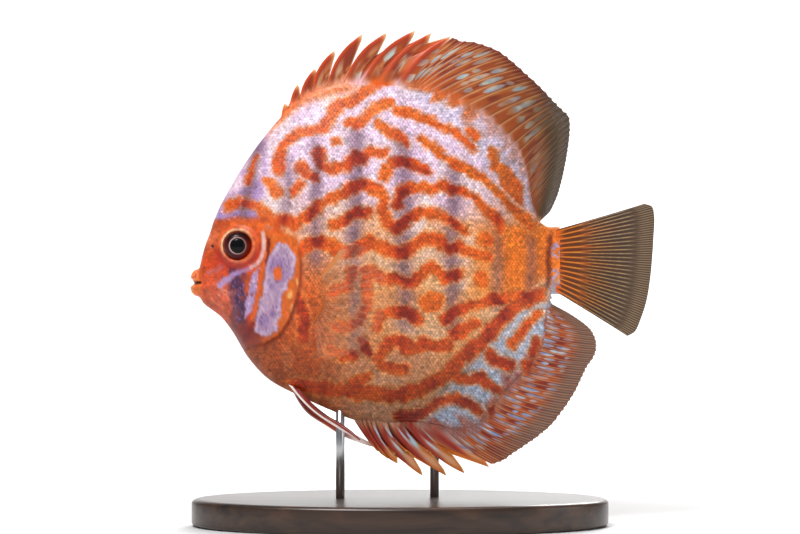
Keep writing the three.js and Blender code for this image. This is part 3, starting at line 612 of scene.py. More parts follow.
class Look:
    """A material, its nodes and the links between them."""

    def __init__(self, name, **values):
        self.material = bpy.data.materials.new(name)
        self.material.use_nodes = True
        self.tree = self.material.node_tree
        self.shader = self.tree.nodes["Principled BSDF"]
        set_inputs(self.shader, values)

    def add(self, kind, **values):
        node = self.tree.nodes.new("ShaderNode" + kind)
        set_inputs(node, values)
        return node

    def join(self, source, output, target, entry):
        self.tree.links.new(source.outputs[output], target.inputs[entry])

    def noise(self, stretch=None, **values):
        """Noise over the object, drawn out by a stretch."""
        source, output = self.add("TexCoord"), "Object"
        if stretch:
            mapping = self.add("Mapping", Scale=stretch)
            self.join(source, output, mapping, "Vector")
            source, output = mapping, "Vector"
        texture = self.add("TexNoise", **values)
        self.join(source, output, texture, "Vector")
        return texture

    def bump(self, texture, strength):
        node = self.add("Bump", Strength=strength, Distance=0.0002)
        self.join(texture, "Fac", node, "Height")
        self.join(node, "Normal", self.shader, "Normal")

    def paint(self, see_through=False):
        node = self.add("Attribute")
        node.attribute_name = "Paint"
        self.join(node, "Color", self.shader, "Base Color")
        if see_through:
            self.join(node, "Alpha", self.shader, "Alpha")


def painted_look(name, roughness, coat, bump_scale, bump_strength, see_through=False):
    look = Look(name, Roughness=roughness, Specular_IOR_Level=0.35, Coat_Weight=coat, Coat_Roughness=0.12)
    look.paint(see_through)
    look.bump(look.noise(Scale=bump_scale, Detail=3.0), bump_strength)
    return look.material


def eye_look():
    look = Look("eye_wet", Roughness=0.5, Specular_IOR_Level=0.08, Coat_Weight=0.5, Coat_IOR=1.34,
                Coat_Roughness=0.02)
    look.paint()
    return look.material


def wood_look():
    look = Look("dark_wood", Roughness=0.34, Coat_Weight=0.3, Coat_Roughness=0.2)
    grain = look.noise((14, 160, 160), Scale=1.6, Detail=8, Distortion=0.6)
    ramp = look.add("ValToRGB")
    dark, light_brown = ramp.color_ramp.elements
    dark.position, dark.color = 0.3, (0.016, 0.008, 0.005, 1)
    light_brown.position, light_brown.color = 0.72, (0.075, 0.034, 0.017, 1)
    look.join(grain, "Fac", ramp, "Fac")
    look.join(ramp, "Color", look.shader, "Base Color")
    look.bump(grain, 0.25)
    return look.material


def steel_look():
    look = Look("brushed_rod", Base_Color=(0.58, 0.59, 0.6, 1), Metallic=1.0)
    rough = look.add("MapRange", To_Min=0.22, To_Max=0.42)
    look.join(look.noise((900, 900, 60), Scale=1.0, Detail=4), "Fac", rough, "Value")
    look.join(rough, "Result", look.shader, "Roughness")
    return look.material


def grid_faces(columns, rows, offset=0, flip=False):
    """Quads of a grid whose points run row by row inside each column."""
    i, j = np.meshgrid(np.arange(columns - 1), np.arange(rows - 1), indexing="ij")
    a = (i * rows + j).ravel() + offset
    quads = np.stack([a, a + rows, a + rows + 1, a + 1], axis=1)
    return quads[:, ::-1] if flip else quads


def ring_faces(rings, count, flip=False):
    """Quads between closed rings of points."""
    i, k = np.meshgrid(np.arange(rings - 1), np.arange(count), indexing="ij")
    a, b = (i * count + k).ravel(), (i * count + (k + 1) % count).ravel()
    quads = np.stack([a, b, b + count, a + count], axis=1)
    return quads[:, ::-1] if flip else quads


# The skin: head, body, tail root and the sheaths of the fins as one closed surface
SKIN_RING = 132


def skin_stations():
    """Places of the rings along the fish, closer together over the snout and the tail root."""
    rear = BODY_END - 14
    spans = [(0, 8, 0.2), (8, 42, 0.3), (42, rear, 0.46), (rear, BODY_END + 0.01, 0.28)]
    return np.concatenate([*(np.arange(*span) for span in spans), [BODY_END]])


def make_skin():
    xs = skin_stations()
    top, bottom = outer_lines(xs)
    share = np.linspace(0, 1, SKIN_RING + 1)
    across = 0.55 * np.cos(math.pi * share) + 0.45 * (1 - 2 * share)
    x = np.repeat(xs[:, None], SKIN_RING + 1, axis=1)
    z = (top + bottom)[:, None] / 2 + (top - bottom)[:, None] / 2 * across
    y = thickness(x, z)
    far = (slice(None), slice(-2, 0, -1))
    ring_x, ring_y, ring_z = np.hstack([x, x[far]]), np.hstack([-y, y[far]]), np.hstack([z, z[far]])
    points = list(place(behind_lips(ring_x, ring_z), ring_y, ring_z).reshape(-1, 3))
    colours = np.hstack([skin_paint(x, z, LEFT), skin_paint(x[far], z[far], RIGHT)])
    colours = list(colours.reshape(-1, 3))
    count = ring_x.shape[1]
    faces = list(ring_faces(len(xs), count))
    for first, step in (((len(xs) - 1) * count, 1), (0, -1)):
        hub = len(points)
        ring = [*range(first, first + count), first]
        for values in (points, colours):
            values.append(np.mean(values[first:first + count], axis=0))
        faces += [(a, b, hub)[::step] for a, b in zip(ring, ring[1:])]
    return mesh_object("fish_skin", points, faces, colours)


# Scales: plates in overlapping rows over the skin
SCALE_PITCH = 1.18
SCALE_ROW = 0.98
SCALE_LENGTH = 1.8
SCALE_HALF = 0.72
SCALE_SPLIT = 62.0
# Rows of a plate from root to tip: place along it, half width and how much painted shade darkens its edge
PLATE_ALONG = np.array([0, 0.34, 0.66, 0.9, 1.0])
PLATE_HALF = np.array([0.7, 0.96, 1.0, 0.66, 0.34])
PLATE_RIM_SHADE = np.array([0, 0, 0.15, 0.7, 1.0])
PLATE_ACROSS = np.linspace(-1, 1, 5)
# Heights of a plate over the skin: its foot, its rise towards the tip and its tucked tip edge
PLATE_FOOT = -0.04
PLATE_RISE = 0.095
PLATE_TIP = -0.05
SLOPE_STEP = 0.05
# Size of a scale's patch on the unwrapped skin
PATCH_SIZE = 0.003


def scale_roots(rng):
    rows = np.arange(-82, 84, SCALE_ROW)
    x, z = np.meshgrid(np.arange(4, 131, SCALE_PITCH), rows, indexing="ij")
    x = x + (np.arange(len(rows))[None, :] % 2) * SCALE_PITCH / 2
    x = (x + rng.normal(0, 0.07, x.shape)).ravel()
    z = (z + rng.normal(0, 0.05, z.shape)).ravel()
    top, bottom = outer_lines(x)
    inside = (z < top - 1.6) & (z > bottom + 1.6) & (x < 129)
    scaled_nape = (z > 15.5 + 0.1 * (x - 20)) & (back_line(x) - z > 1.4)
    keep = inside & ((line_distance(GILL_EDGE, x, z) > 0.9) | scaled_nape)
    return x[keep], z[keep]


def scale_lean(x, z):
    """Direction of growth as a slope: level on the flank, along the rays on the sheaths."""
    up, down = smooth(-6, 8, z - back_line(x)), smooth(-6, 8, belly_line(x) - z)
    return (0.75 * up - 0.6 * down) * smooth(70, 85, x)


def make_scales(side, part, root_x, root_z, rng):
    n = len(root_x)
    size = 1 - 0.3 * smooth(0, 10, -line_distance(GILL_EDGE, root_x, root_z))
    size = (size * rng.normal(1, 0.03, n))[:, None, None]
    lean = (np.arctan(scale_lean(root_x, root_z)) + rng.normal(0, 0.04, n))[:, None, None]
    s, c = PLATE_ALONG[:, None], PLATE_ACROSS[None, :]
    along = SCALE_LENGTH * s * (1 - 0.1 * c**2 * s)
    across = SCALE_HALF * PLATE_HALF[:, None] * c
    height = PLATE_FOOT + (0.04 + PLATE_RISE * s) * (1 - c**2) ** 0.6 + 0.02 * s
    height[-1, :] = PLATE_TIP
    px = root_x[:, None, None] + size * (along * np.cos(lean) - across * np.sin(lean))
    pz = root_z[:, None, None] + size * (along * np.sin(lean) + across * np.cos(lean))
    step = SLOPE_STEP
    slope_x = (thickness(px + step, pz) - thickness(px - step, pz)) / (2 * step)
    slope_z = (thickness(px, pz + step) - thickness(px, pz - step)) / (2 * step)
    lift = height * size / np.sqrt(1 + slope_x**2 + slope_z**2)
    points = place(px - slope_x * lift, side * (thickness(px, pz) + lift), pz - slope_z * lift)
    # Painted shade: each plate darker along its sides and tip, where it tucks under its neighbours, less so
    # on the breast; own is the plate's own tone
    edge = np.maximum(np.abs(c) ** 3, PLATE_RIM_SHADE[:, None])
    own = rng.normal(1, 0.06, n)[:, None, None]
    breast = smooth(-16, -34, root_z) * fall(50, 72, root_x)
    shade = own * (1.05 - (0.24 - 0.12 * breast)[:, None, None] * edge)
    colour = shaded(skin_paint(px, pz, side), shade - 1).reshape(-1, 3)
    rows, wide = len(PLATE_ALONG), len(PLATE_ACROSS)
    quads = grid_faces(rows, wide, flip=side == LEFT)
    faces = (quads[None] + (np.arange(n) * rows * wide)[:, None, None]).reshape(-1, 4)
    item = mesh_object(f"scales_{SIDE_NAMES[side]}_{part}", points.reshape(-1, 3), faces, colour)
    bake_patches(item, root_x, root_z, side)
    return item


def bake_patches(item, root_x, root_z, side):
    """Each scale's small patch at its root's place on the unwrapped skin."""
    top, bottom = outer_lines(root_x)
    u = 0.01 + 0.98 * root_x / (BODY_END + 3)
    v = 0.01 + 0.47 * (root_z - bottom) / (top - bottom) + (0.5 if side == RIGHT else 0)
    patch_u = u[:, None, None] + PATCH_SIZE * (PLATE_ALONG[:, None] - 0.5)
    patch_v = v[:, None, None] + PATCH_SIZE / 2 * PLATE_ACROSS[None, :]
    uv = np.stack(np.broadcast_arrays(patch_u, patch_v), axis=-1).reshape(-1, 2)
    layer = item.data.uv_layers.new(name="OFBake")
    loops = np.zeros(len(item.data.loops), np.int32)
    item.data.loops.foreach_get("vertex_index", loops)
    layer.data.foreach_set("uv", uv[loops].astype(np.float32).ravel())


# Fins: rays as ridges on a thin membrane, as columns from root to margin
SPINE_HALF = 0.5
SPINE_SIDE_HALF = 0.4
RAY_HALF = 0.34
MEMBRANE_HALF = 0.12
EDGE_HALF = 0.07
# The finger of membrane behind a spine: places along it, and how far it stands out
FINGER_PARTS = (0.16, 0.26, 0.38, 0.5, 0.62, 0.74, 0.86)
FINGER_WIDTH = 2.0
# Columns to a soft ray, depth of the margin's scallops, and samples of a curve
SOFT_STEPS = 8
SCALLOP = 0.35
SPAN_SAMPLES = 40
LINE_SAMPLES = 1001

Column = namedtuple("Column", "phase root tip half bow spine", defaults=(None, None, 0.0, 0.0, 0.0))


def blend(a, b, start, end, t):
    return (end - t) / (end - start) * a + (t - start) / (end - start) * b


def sampled(want, run, line):
    return np.stack([np.interp(want, run, line[:, k]) for k in (0, 1)], axis=1)


def smooth_path(points, count):
    """Evenly spaced points on a centripetal curve through the given ones."""
    p = np.array(points, float)
    if len(p) == 2:
        return p[0] + (p[1] - p[0]) * np.linspace(0, 1, count)[:, None]
    q = np.vstack([2 * p[0] - p[1], p, 2 * p[-1] - p[-2]])
    fine = []
    for a, b, c, d in zip(q, q[1:], q[2:], q[3:]):
        tb, tc, td = np.cumsum([np.linalg.norm(v) ** 0.5 for v in (b - a, c - b, d - c)])
        t = np.linspace(tb, tc, SPAN_SAMPLES)[:, None]
        ab, bc, cd = blend(a, b, 0, tb, t), blend(b, c, tb, tc, t), blend(c, d, tc, td, t)
        fine.append(blend(blend(ab, bc, 0, tc, t), blend(bc, cd, tb, td, t), tb, tc, t))
    fine = np.vstack(fine)
    run = np.concatenate([[0], np.cumsum(np.linalg.norm(np.diff(fine, axis=0), axis=1))])
    return sampled(np.linspace(0, 1, count) * run[-1], run, fine)


def sunk(points, turn):
    """Roots moved into the body from its outline."""
    return np.array(points, float) - (0, SINK * turn)


def spiny_columns(spines, turn, curl):
    """A rounded finger round each spine, and the membrane behind it down to a notch."""
    columns = []
    for i, (root, tip, notch, bow) in enumerate(spines):
        root = sunk(root, turn)
        line = tip - root
        length = np.linalg.norm(line)
        aside = np.array([line[1], -line[0]]) / length * turn
        near = root + 0.975 * line
        foot = root + 0.93 * line + 0.9 * aside
        front = np.array(notch, float) if notch else root + 0.86 * line - 0.3 * aside
        # Phase and place beside the spine, far end, half thickness, share of the spine's height
        finger = [
            (-0.1, -0.62, front, MEMBRANE_HALF, 0.0),
            (-0.04, -0.3, near - 0.3 * aside, SPINE_SIDE_HALF, 0.8),
            (0.0, 0.0, tip, SPINE_HALF, 1.0), (0.04, 0.3, near + 0.4 * aside, SPINE_SIDE_HALF, 0.8),
            (0.08, 0.62, foot, MEMBRANE_HALF, 0.0),
        ]
        for shift, offset, end, half, spine in finger:
            columns.append(Column(i + shift, root + offset * aside, end, half, bow * curl, spine))
        if i + 1 < len(spines):
            following, end = sunk(spines[i + 1][0], turn), np.array(spines[i + 1][2])
            corner = root + np.dot(end - root, line) / length**2 * line + FINGER_WIDTH * aside
            for part in FINGER_PARTS:
                left = 1 - part
                point = left**3 * foot + 3 * left * part * corner + part**3 * end
                start = root + (following - root) * part
                columns.append(Column(i + part, start, point, MEMBRANE_HALF, bow * curl))
    return columns


def soft_columns(root_line, margin, turn, fan, spacing, rays, bow):
    """Soft rays, each a low rounded ridge, with the membrane between them."""
    count = rays * SOFT_STEPS + 1
    share = np.linspace(0, 1, LINE_SAMPLES)
    reach = Profile(spacing)(np.linspace(0, 1, count))
    roots = sampled(Profile(fan)(reach), share, smooth_path(sunk(root_line, turn), LINE_SAMPLES))
    tips = sampled(reach, share, smooth_path(margin, LINE_SAMPLES))
    columns = []
    for i in range(count):
        phase = i / SOFT_STEPS
        ridge = max(0.0, math.cos(2 * math.pi * (phase - 0.5)))
        line = tips[i] - roots[i]
        notch = SCALLOP * (1 - ridge) * (0.7 + 0.6 * hashed(i // SOFT_STEPS, 3, 5))
        tip = tips[i] - line / np.linalg.norm(line) * notch
        half = MEMBRANE_HALF + (RAY_HALF - MEMBRANE_HALF) * ridge**1.5
        columns.append(Column(SPINES + phase, roots[i], tip, half, bow * (1 - 0.5 * i / count), ridge))
    return columns


def fin_mesh(name, columns, rows, surface, paint):
    """A closed quilt; surface gives a point of either face and paint its colour and alpha."""
    t = np.linspace(0, 1, rows)
    faces_points, colours, alphas = {-1: [], 1: []}, [], []
    for index, column in enumerate(columns):
        for face, points in faces_points.items():
            line = surface(column, t, face, index / (len(columns) - 1))
            points.append(place(*line.T))
        colour, alpha = paint(column, t, line)
        colours.append(colour)
        alphas.append(alpha)
    total = len(columns) * rows
    last = total - rows
    faces = [*grid_faces(len(columns), rows), *grid_faces(len(columns), rows, total, flip=True)]
    out = [*range(0, total, rows), *range(last + 1, total)]
    back = [*range(total - 1, 0, -rows), *range(rows - 2, -1, -1)]
    faces += [(a, total + a, total + b, b) for a, b in zip(out, out[1:])]
    faces += [(b, a, total + a, total + b) for a, b in zip(back, back[1:])]
    points = np.vstack(faces_points[-1] + faces_points[1])
    return mesh_object(name, points, faces, np.vstack(colours * 2), np.concatenate(alphas * 2))


def median_surface(sway, waves, phase):
    """Surface of a fin in the fish's middle plane, swaying gently to its sides."""
    def surface(column, t, face, along):
        line = column.tip - column.root
        bulge = 4 * t * (1 - t) * column.bow
        x = column.root[0] + line[0] * t + line[1] * bulge
        z = column.root[1] + line[1] * t - line[0] * bulge
        half = EDGE_HALF + (column.half - EDGE_HALF) * (0.3 + 0.7 * fall(0.35, 1, t))
        half = np.maximum(half, FIN_FOOT_HALF * fall(0, 0.16, t))
        lean = sway * t * t * math.sin(waves * math.pi * along + phase)
        return np.stack([x, lean + face * half, z], axis=1)
    return surface


FIN_FOOT_HALF = 0.55
FIN_ROWS = 72
DORSAL_RAYS = 40
ANAL_RAYS = 44
CAUDAL_RAYS = 15
PELVIC_RAYS = 6
# How deep the fins' roots sit in the body
SINK = 2.2
# Each spine: root, tip, notch in front of it and bow
SPINES = 9
DORSAL_SPINES = [
    ((33.4, 52.6), (34, 57), None, -0.04),
    ((36.3, 55.4), (38.6, 63.8), (35.1, 55.6), -0.06),
    ((39.8, 57.8), (44.9, 69.6), (38.9, 59.2), -0.08),
    ((44.3, 60.1), (51.8, 76.2), (43.6, 61.6), -0.09),
    ((49.6, 61.6), (61.8, 82.1), (50, 66), -0.09),
    ((55.5, 62.5), (70.6, 82.6), (57.9, 70.4), -0.09),
    ((61.8, 62.6), (80.9, 83.4), (65.6, 73.6), -0.09),
    ((67.6, 62), (86.8, 82.6), (75.2, 76.8), -0.08),
    ((73.2, 60.6), (93.7, 81.5), (84.3, 78.6), -0.07),
]
DORSAL_ROOT = [
    (75, 60), (84, 55.4), (92, 49.2), (98.9, 41.4), (106, 34), (113, 26.8), (119.4, 20.4), (125, 15.2),
]
DORSAL_MARGIN = [
    (94.6, 81.1), (97.1, 79.9), (102.8, 79.2), (111.5, 75.8), (118.7, 69.9), (126.2, 62.9),
    (133.4, 55.4), (136.2, 52.6), (136.7, 49), (136.2, 42.1), (133.8, 29.2), (132, 23.2),
    (129.3, 17.8), (126.6, 15.6),
]
ANAL_SPINES = [
    ((58.5, -56.6), (61.8, -60.8), None, 0.03),
    ((59.5, -56.8), (64.3, -64.3), (62, -61.6), 0.04),
    ((60.6, -57), (67.6, -68.2), (65, -65.6), 0.05),
    ((62, -57.2), (71.3, -70.9), (68.6, -69), 0.06),
    ((63.6, -57.3), (74.6, -72.6), (72, -71.2), 0.06),
    ((66.6, -57.2), (83.6, -76.9), (73.4, -69.4), 0.07),
    ((70.8, -56.8), (92.2, -76.9), (77.4, -68.6), 0.07),
    ((75.6, -55.4), (98.8, -76.1), (85.4, -68.2), 0.07),
    ((80.4, -53.4), (107.6, -73.9), (93, -68.8), 0.06),
]
ANAL_ROOT = [
    (83.5, -52.4), (89.4, -49), (96.4, -44), (103, -38), (109.5, -31.2), (116, -23.6), (121.5, -16.9),
    (125.4, -13),
]
ANAL_MARGIN = [
    (108.6, -72.9), (112.4, -71.6), (116.5, -68.8), (122.5, -64.8), (128.6, -60.1), (133.9, -54),
    (138.6, -46.8), (142.7, -38.5), (146, -33.1), (146.4, -29.2), (145, -25.2), (142, -22.2),
    (136, -18.2), (128.6, -14.4),
]
# Where the ray that ends at a share of the margin starts on the root line
DORSAL_FAN = [
    (0, 0), (0.15, 0.02), (0.26, 0.09), (0.42, 0.33), (0.52, 0.6), (0.62, 0.79), (0.78, 0.93),
    (0.91, 0.98), (1, 1),
]
ANAL_FAN = [
    (0, 0), (0.05, 0.05), (0.19, 0.13), (0.28, 0.21), (0.48, 0.42), (0.62, 0.61), (0.72, 0.76),
    (0.81, 0.9), (0.91, 0.97), (1, 1),
]
# The rays stand closer together towards the tail
DORSAL_SPACING = [(0, 0), (0.42, 0.56), (1, 1)]
ANAL_SPACING = [(0, 0), (0.45, 0.52), (1, 1)]
CAUDAL_ROOT = [(BODY_END - 1.4, 11.6), (BODY_END - 1.4, -10.7)]
CAUDAL_TRAILING = [
    (163.5, 21), (166.2, 20), (167.1, 16.6), (166.9, 9.7), (166.4, 1.8), (165.5, -7.2), (164.2, -14.4),
    (162.2, -20.5), (160.1, -25), (157.4, -26.7),
]
# Bands of streaks: distance from the margin, half length, share of the rays that have one
DORSAL_BANDS = [(5.6, 3.2, 0.8), (12.6, 3.8, 0.8), (20, 3.6, 0.4)]


def streaks_between(u, away, cell, bands, seed):
    """Pale lens-shaped streaks between two rays, in bands at set distances from the margin."""
    amount = np.zeros(len(away))
    for k, (middle, half, present) in enumerate(bands):
        if hashed(cell, k, seed + 2) <= present:
            shift = 4.6 * (hashed(cell, k, seed) - 0.5)
            size = half * (0.35 + 1.0 * hashed(cell, k, seed + 1))
            lens = np.clip(1 - ((away - middle - shift) / size) ** 2, 0, 1)
            across = fall(0.45, 1.0, abs(u - 0.5) / (0.44 * lens + 0.001))
            depth = 0.5 + 0.5 * hashed(cell, k, seed + 3)
            amount = np.maximum(amount, depth * across * smooth(0, 0.2, lens))
    return amount


def distance_left(x, z):
    """Distance along a ray to the margin."""
    run = np.concatenate([[0], np.cumsum(np.hypot(np.diff(x), np.diff(z)))])
    return run[-1] - run


def ray_lines(u, away, branch_from):
    """A pale line on each ray's crest with a dark one beside it, doubled where the ray branches."""
    branch = 0.8 * fall(branch_from * 0.6, branch_from, away)
    pale = np.maximum(fall(0.03, 0.16, min(u, 1 - u)), bump(u - 0.5, 0.07) * branch)
    return pale, np.maximum(bump(u - 0.87, 0.07), bump(u - 0.37, 0.07) * branch)


def dorsal_paint(column, t, points):
    x, _, z = points.T
    p = column.phase
    above = z - back_line(np.minimum(x, BODY_END)) - sheath_above(x)
    away = distance_left(x, z)
    rear = smooth(120, 135, x + 0.12 * (60 - z))
    colour = laid(
        flat((176, 92, 44), t), ((132, 58, 32), 0.8 * patchy(0.35, 0.75, p * 1.9, t * 7, 61)),
        ((204, 134, 78), 0.7 * patchy(0.5, 0.8, p * 2.7, t * 6, 62)),
    )
    if p >= SPINES:
        cell = math.floor(p - 0.5)
        u = p - 0.5 - cell
        foot = fall(2, 9, above + 0.5 * (x - 100) * smooth(100, 125, x))
        margin = fall(0.8, 4.2, away)
        streaks = streaks_between(u, away, cell, DORSAL_BANDS, 91)
        pale = laid(
            flat((206 + 30 * hashed(cell, 7, 5), 222, 208), t),
            ((150, 190, 226), 0.75 * patchy(0.2, 0.8, p * 3, away / 1.6, 69)),
        )
        light_line, dark_line = ray_lines(u, away, 7)
        colour = laid(
            colour, ((206, 100, 36), 0.7 * foot * patchy(0.3, 0.6, p * 0.8, t * 9, 68)),
            ((136, 62, 44), 0.85 * margin), (pale, 0.9 * streaks * (1 - 0.85 * rear)),
            ((178, 84, 22), 0.85 * smooth(108, 118, x) * fall(5, 15, above + 0.9 * (x - 119))),
            ((82, 68, 38), 0.92 * rear * smooth(0.1, 0.6, 1 - away / 19)), ((92, 36, 24), 0.62 * dark_line),
            ((234, 178, 122), 0.72 * light_line * (1 - 0.45 * rear) * (1 - 0.4 * margin)),
        )
    else:
        k = p - math.floor(p)
        between = smooth(0.08, 0.2, k) * fall(0.8, 0.9, k)
        upper = bump(away - 6.5, 4.5) * smooth(4.8, 6.2, p) + 0.5 * bump(away - 9, 4)
        spine = fall(0.05, 0.12, min(k, 1 - k))
        colour = laid(
            colour, ((222, 176, 142),
                     0.6 * between * patchy(0.45, 0.75, p * 11, t * 3.5, 93) * smooth(0.15, 0.5, t)),
            ((142, 62, 52), 0.6 * between * patchy(0.5, 0.8, p * 13, t * 3, 94)),
            ((200, 208, 204), 0.85 * between * upper * patchy(0.3, 0.55, p * 4, t * 8, 95)),
            ((208, 88, 44), 0.9 * spine * smooth(0.1, 0.4, t)),
            ((150, 52, 34), 0.6 * bump(k - 0.08, 0.035) * smooth(0.15, 0.4, t)),
            ((248, 216, 172), 0.7 * fall(0.25, 1.0, away)),
            ((246, 206, 150), 0.6 * spine * fall(0.8, 2.6, away)),
        )
    # Painted shade: the fin darker towards the rear, like the body beside it
    colour = colour * (1 - 0.2 * smooth(96, 124, x))[:, None]
    own = smooth(-0.4, 3.2, above + 0.6 * math.sin(p * 6.3))
    clear = 0.05 + 0.16 * rear * smooth(0.2, 0.9, 1 - away / 14)
    colour = laid(skin_paint(x, z - np.maximum(above, 0), LEFT), (colour, own))
    return colour, 1 - own * clear * (1 - 0.6 * column.spine)


def anal_paint(column, t, points):
    x, _, z = points.T
    p = column.phase
    below = belly_line(np.minimum(x, BODY_END)) - sheath_below(x) - z
    away = distance_left(x, z)
    fade = smooth(104, 124, x) * fall(4, 10, away)
    inner = fall(0.22, 0.62, t) * smooth(76, 90, x) * fall(0.5, 0.64, noise(p * 0.42, t * 6, 64))
    colour = laid(
        flat((176, 88, 42), t), ((128, 40, 22), 0.85 * patchy(0.35, 0.7, p * 1.7, t * 7, 63)),
        ((172, 188, 214), 0.78 * inner),
    )
    if p >= SPINES:
        cell = math.floor(p - 0.5)
        u = p - 0.5 - cell
        reach = 1.5 - 0.65 * smooth(108, 130, x[-1])
        bands = [
            (8.5 + 1.5 * reach, 3.0 * reach, 0.9), (14 + 2 * reach, 3.6 * reach, 0.85), (23, 4 * reach, 0.7)
        ]
        streaks = streaks_between(u, away, cell, bands, 97)
        pale = laid(
            flat((190 + 30 * hashed(cell, 9, 6), 212, 222), t),
            ((120, 164, 228), 0.8 * patchy(0.2, 0.8, p * 3, away / 1.6, 96)),
        )
        light_line, dark_line = ray_lines(u, away, 12)
        colour = laid(
            colour, (pale, 0.92 * streaks), ((104, 80, 68), 0.85 * fade), ((66, 32, 26), 0.66 * dark_line),
            ((214, 168, 134), 0.7 * light_line),
        )
    else:
        k = p - math.floor(p)
        between = smooth(0.06, 0.16, k) * fall(0.84, 0.92, k)
        fine = patchy(0.4, 0.65, p * 9, t * 3, 98)
        spine = fall(0.05, 0.12, min(k, 1 - k))
        white = bump(k - 0.12, 0.05) * smooth(0.25, 0.5, t) * fall(0.9, 1, t)
        colour = laid(
            colour, ((176, 206, 222), 0.95 * between * smooth(0.1, 0.3, t) * fall(0.66, 0.86, t) * fine),
            ((138, 36, 24), 0.85 * (1 - fine) * fall(0.5, 0.8, t)),
            ((206, 122, 52), 0.85 * smooth(0.62, 0.85, t)), ((236, 228, 224), 0.8 * white),
            ((150, 44, 26), 0.8 * spine * fall(0.55, 0.85, t)),
            ((240, 196, 130), 0.6 * fall(0.25, 1.1, away)),
        )
    own = smooth(-0.2, 5.0, below + 0.9 * math.sin(p * 6.3))
    colour = laid(skin_paint(x, z + np.maximum(below, 0), LEFT), (colour, own))
    return colour, 1 - own * (0.04 + 0.1 * fade) * (1 - 0.7 * column.spine)


def make_dorsal():
    columns = spiny_columns(DORSAL_SPINES, 1, 1.5)
    columns += soft_columns(DORSAL_ROOT, DORSAL_MARGIN, 1, DORSAL_FAN, DORSAL_SPACING, DORSAL_RAYS, -0.06)
    return fin_mesh("dorsal_fin_skin", columns, FIN_ROWS, median_surface(1.1, 2.4, 0.4), dorsal_paint)


def make_anal():
    columns = spiny_columns(ANAL_SPINES, -1, 1.3)
    columns += soft_columns(ANAL_ROOT, ANAL_MARGIN, -1, ANAL_FAN, ANAL_SPACING, ANAL_RAYS, 0.07)
    return fin_mesh("anal_fin_skin", columns, FIN_ROWS, median_surface(1.0, 2.2, 2.6), anal_paint)


def crests(phase, forks, shift, power):
    """Ridges across a fin, so many to a ray, as a height between 0 and 1."""
    return np.maximum(0, np.cos(2 * math.pi * forks * (phase - shift))) ** power


def make_caudal():
    steps = 20
    count = CAUDAL_RAYS * steps + 1
    roots, tips = smooth_path(CAUDAL_ROOT, count), smooth_path(CAUDAL_TRAILING, count)
    columns = [Column(i / steps, roots[i], tips[i]) for i in range(count)]

    def ridge_at(phase, t):
        """One ridge near the root that forks into two, and into four at the margin."""
        first, second = smooth(0.2, 0.42, t), smooth(0.72, 0.9, t)
        forked = crests(phase, 1, 0.5, 2) * (1 - first) + crests(phase, 2, 0.25, 2) * first
        return forked * (1 - second) + crests(phase, 4, 0.125, 1.5) * second

    def surface(column, t, face, along):
        flare = np.sin(np.minimum(t * 1.15, 1) * math.pi / 2) * 0.35 + t * 0.65
        pinch = (t - flare) * 2.2 * (0.5 - along)
        x, z = column.root[:, None] + (column.tip - column.root)[:, None] * t
        ridge = MEMBRANE_HALF + (RAY_HALF - MEMBRANE_HALF) * ridge_at(column.phase, t)
        half = EDGE_HALF + (ridge - EDGE_HALF) * (1 - 0.8 * smooth(0.5, 1, t))
        half = np.maximum(half, 1.7 * fall(0, 0.3, t))
        y = 0.9 * t * t * math.sin(2.6 * along + 0.5) + face * half
        return np.stack([x, y, z + pinch], axis=1)

    def paint(column, t, points):
        """Orange at the foot and smoky at the margin, with dark lines between pale rays."""
        p = column.phase
        ray = ridge_at(p, t)
        base = fall(0.08, 0.72, t + 0.06 * math.sin(p * 2.3))
        pale = laid(flat((158, 136, 108), t), ((222, 138, 56), base))
        joint = patchy(0.35, 0.75, p * 3, t * 48, 65) * smooth(0.5, 0.9, ray)
        speck = patchy(0.5, 0.7, p * 2.2, t * 60, 67) * (abs(abs(p / 16 - 0.5) - 0.21) < 0.13)
        colour = laid(
            flat((100, 80, 62), t), ((176, 92, 26), base), (pale, 0.9 * smooth(0.35, 0.8, ray)),
            ((240, 190, 110), 0.5 * joint * smooth(0.1, 0.3, t) * fall(0.7, 1, t)),
            ((62, 38, 26), 0.6 * fall(0.0, 0.3, ray) * (1 - 0.45 * smooth(0.6, 1, t))),
            ((222, 108, 36), fall(0.0, 0.09, t + 0.03 * math.sin(p * 5))),
            ((176, 160, 196), 0.85 * speck * fall(0.03, 0.07, t)),
        )
        return colour, 1 - smooth(0.2, 0.9, t) * 0.1 * (1 - 0.7 * ray)

    return fin_mesh("tail_fin_skin", columns, 60, surface, paint)


# Angles of the first and last rays in degrees, and how the fin is set into the side
PECTORAL_FIRST, PECTORAL_LAST = 52, -82
PECTORAL_SINK = 2.6
PECTORAL_ROOT_HALF = 5.6
PECTORAL_SPREAD = math.radians(24)
# Length of each ray from the upper one down
PECTORAL_LENGTHS = [20, 25, 28, 29.5, 29.5, 28, 26, 23.5, 21, 18.5, 16, 13.5]


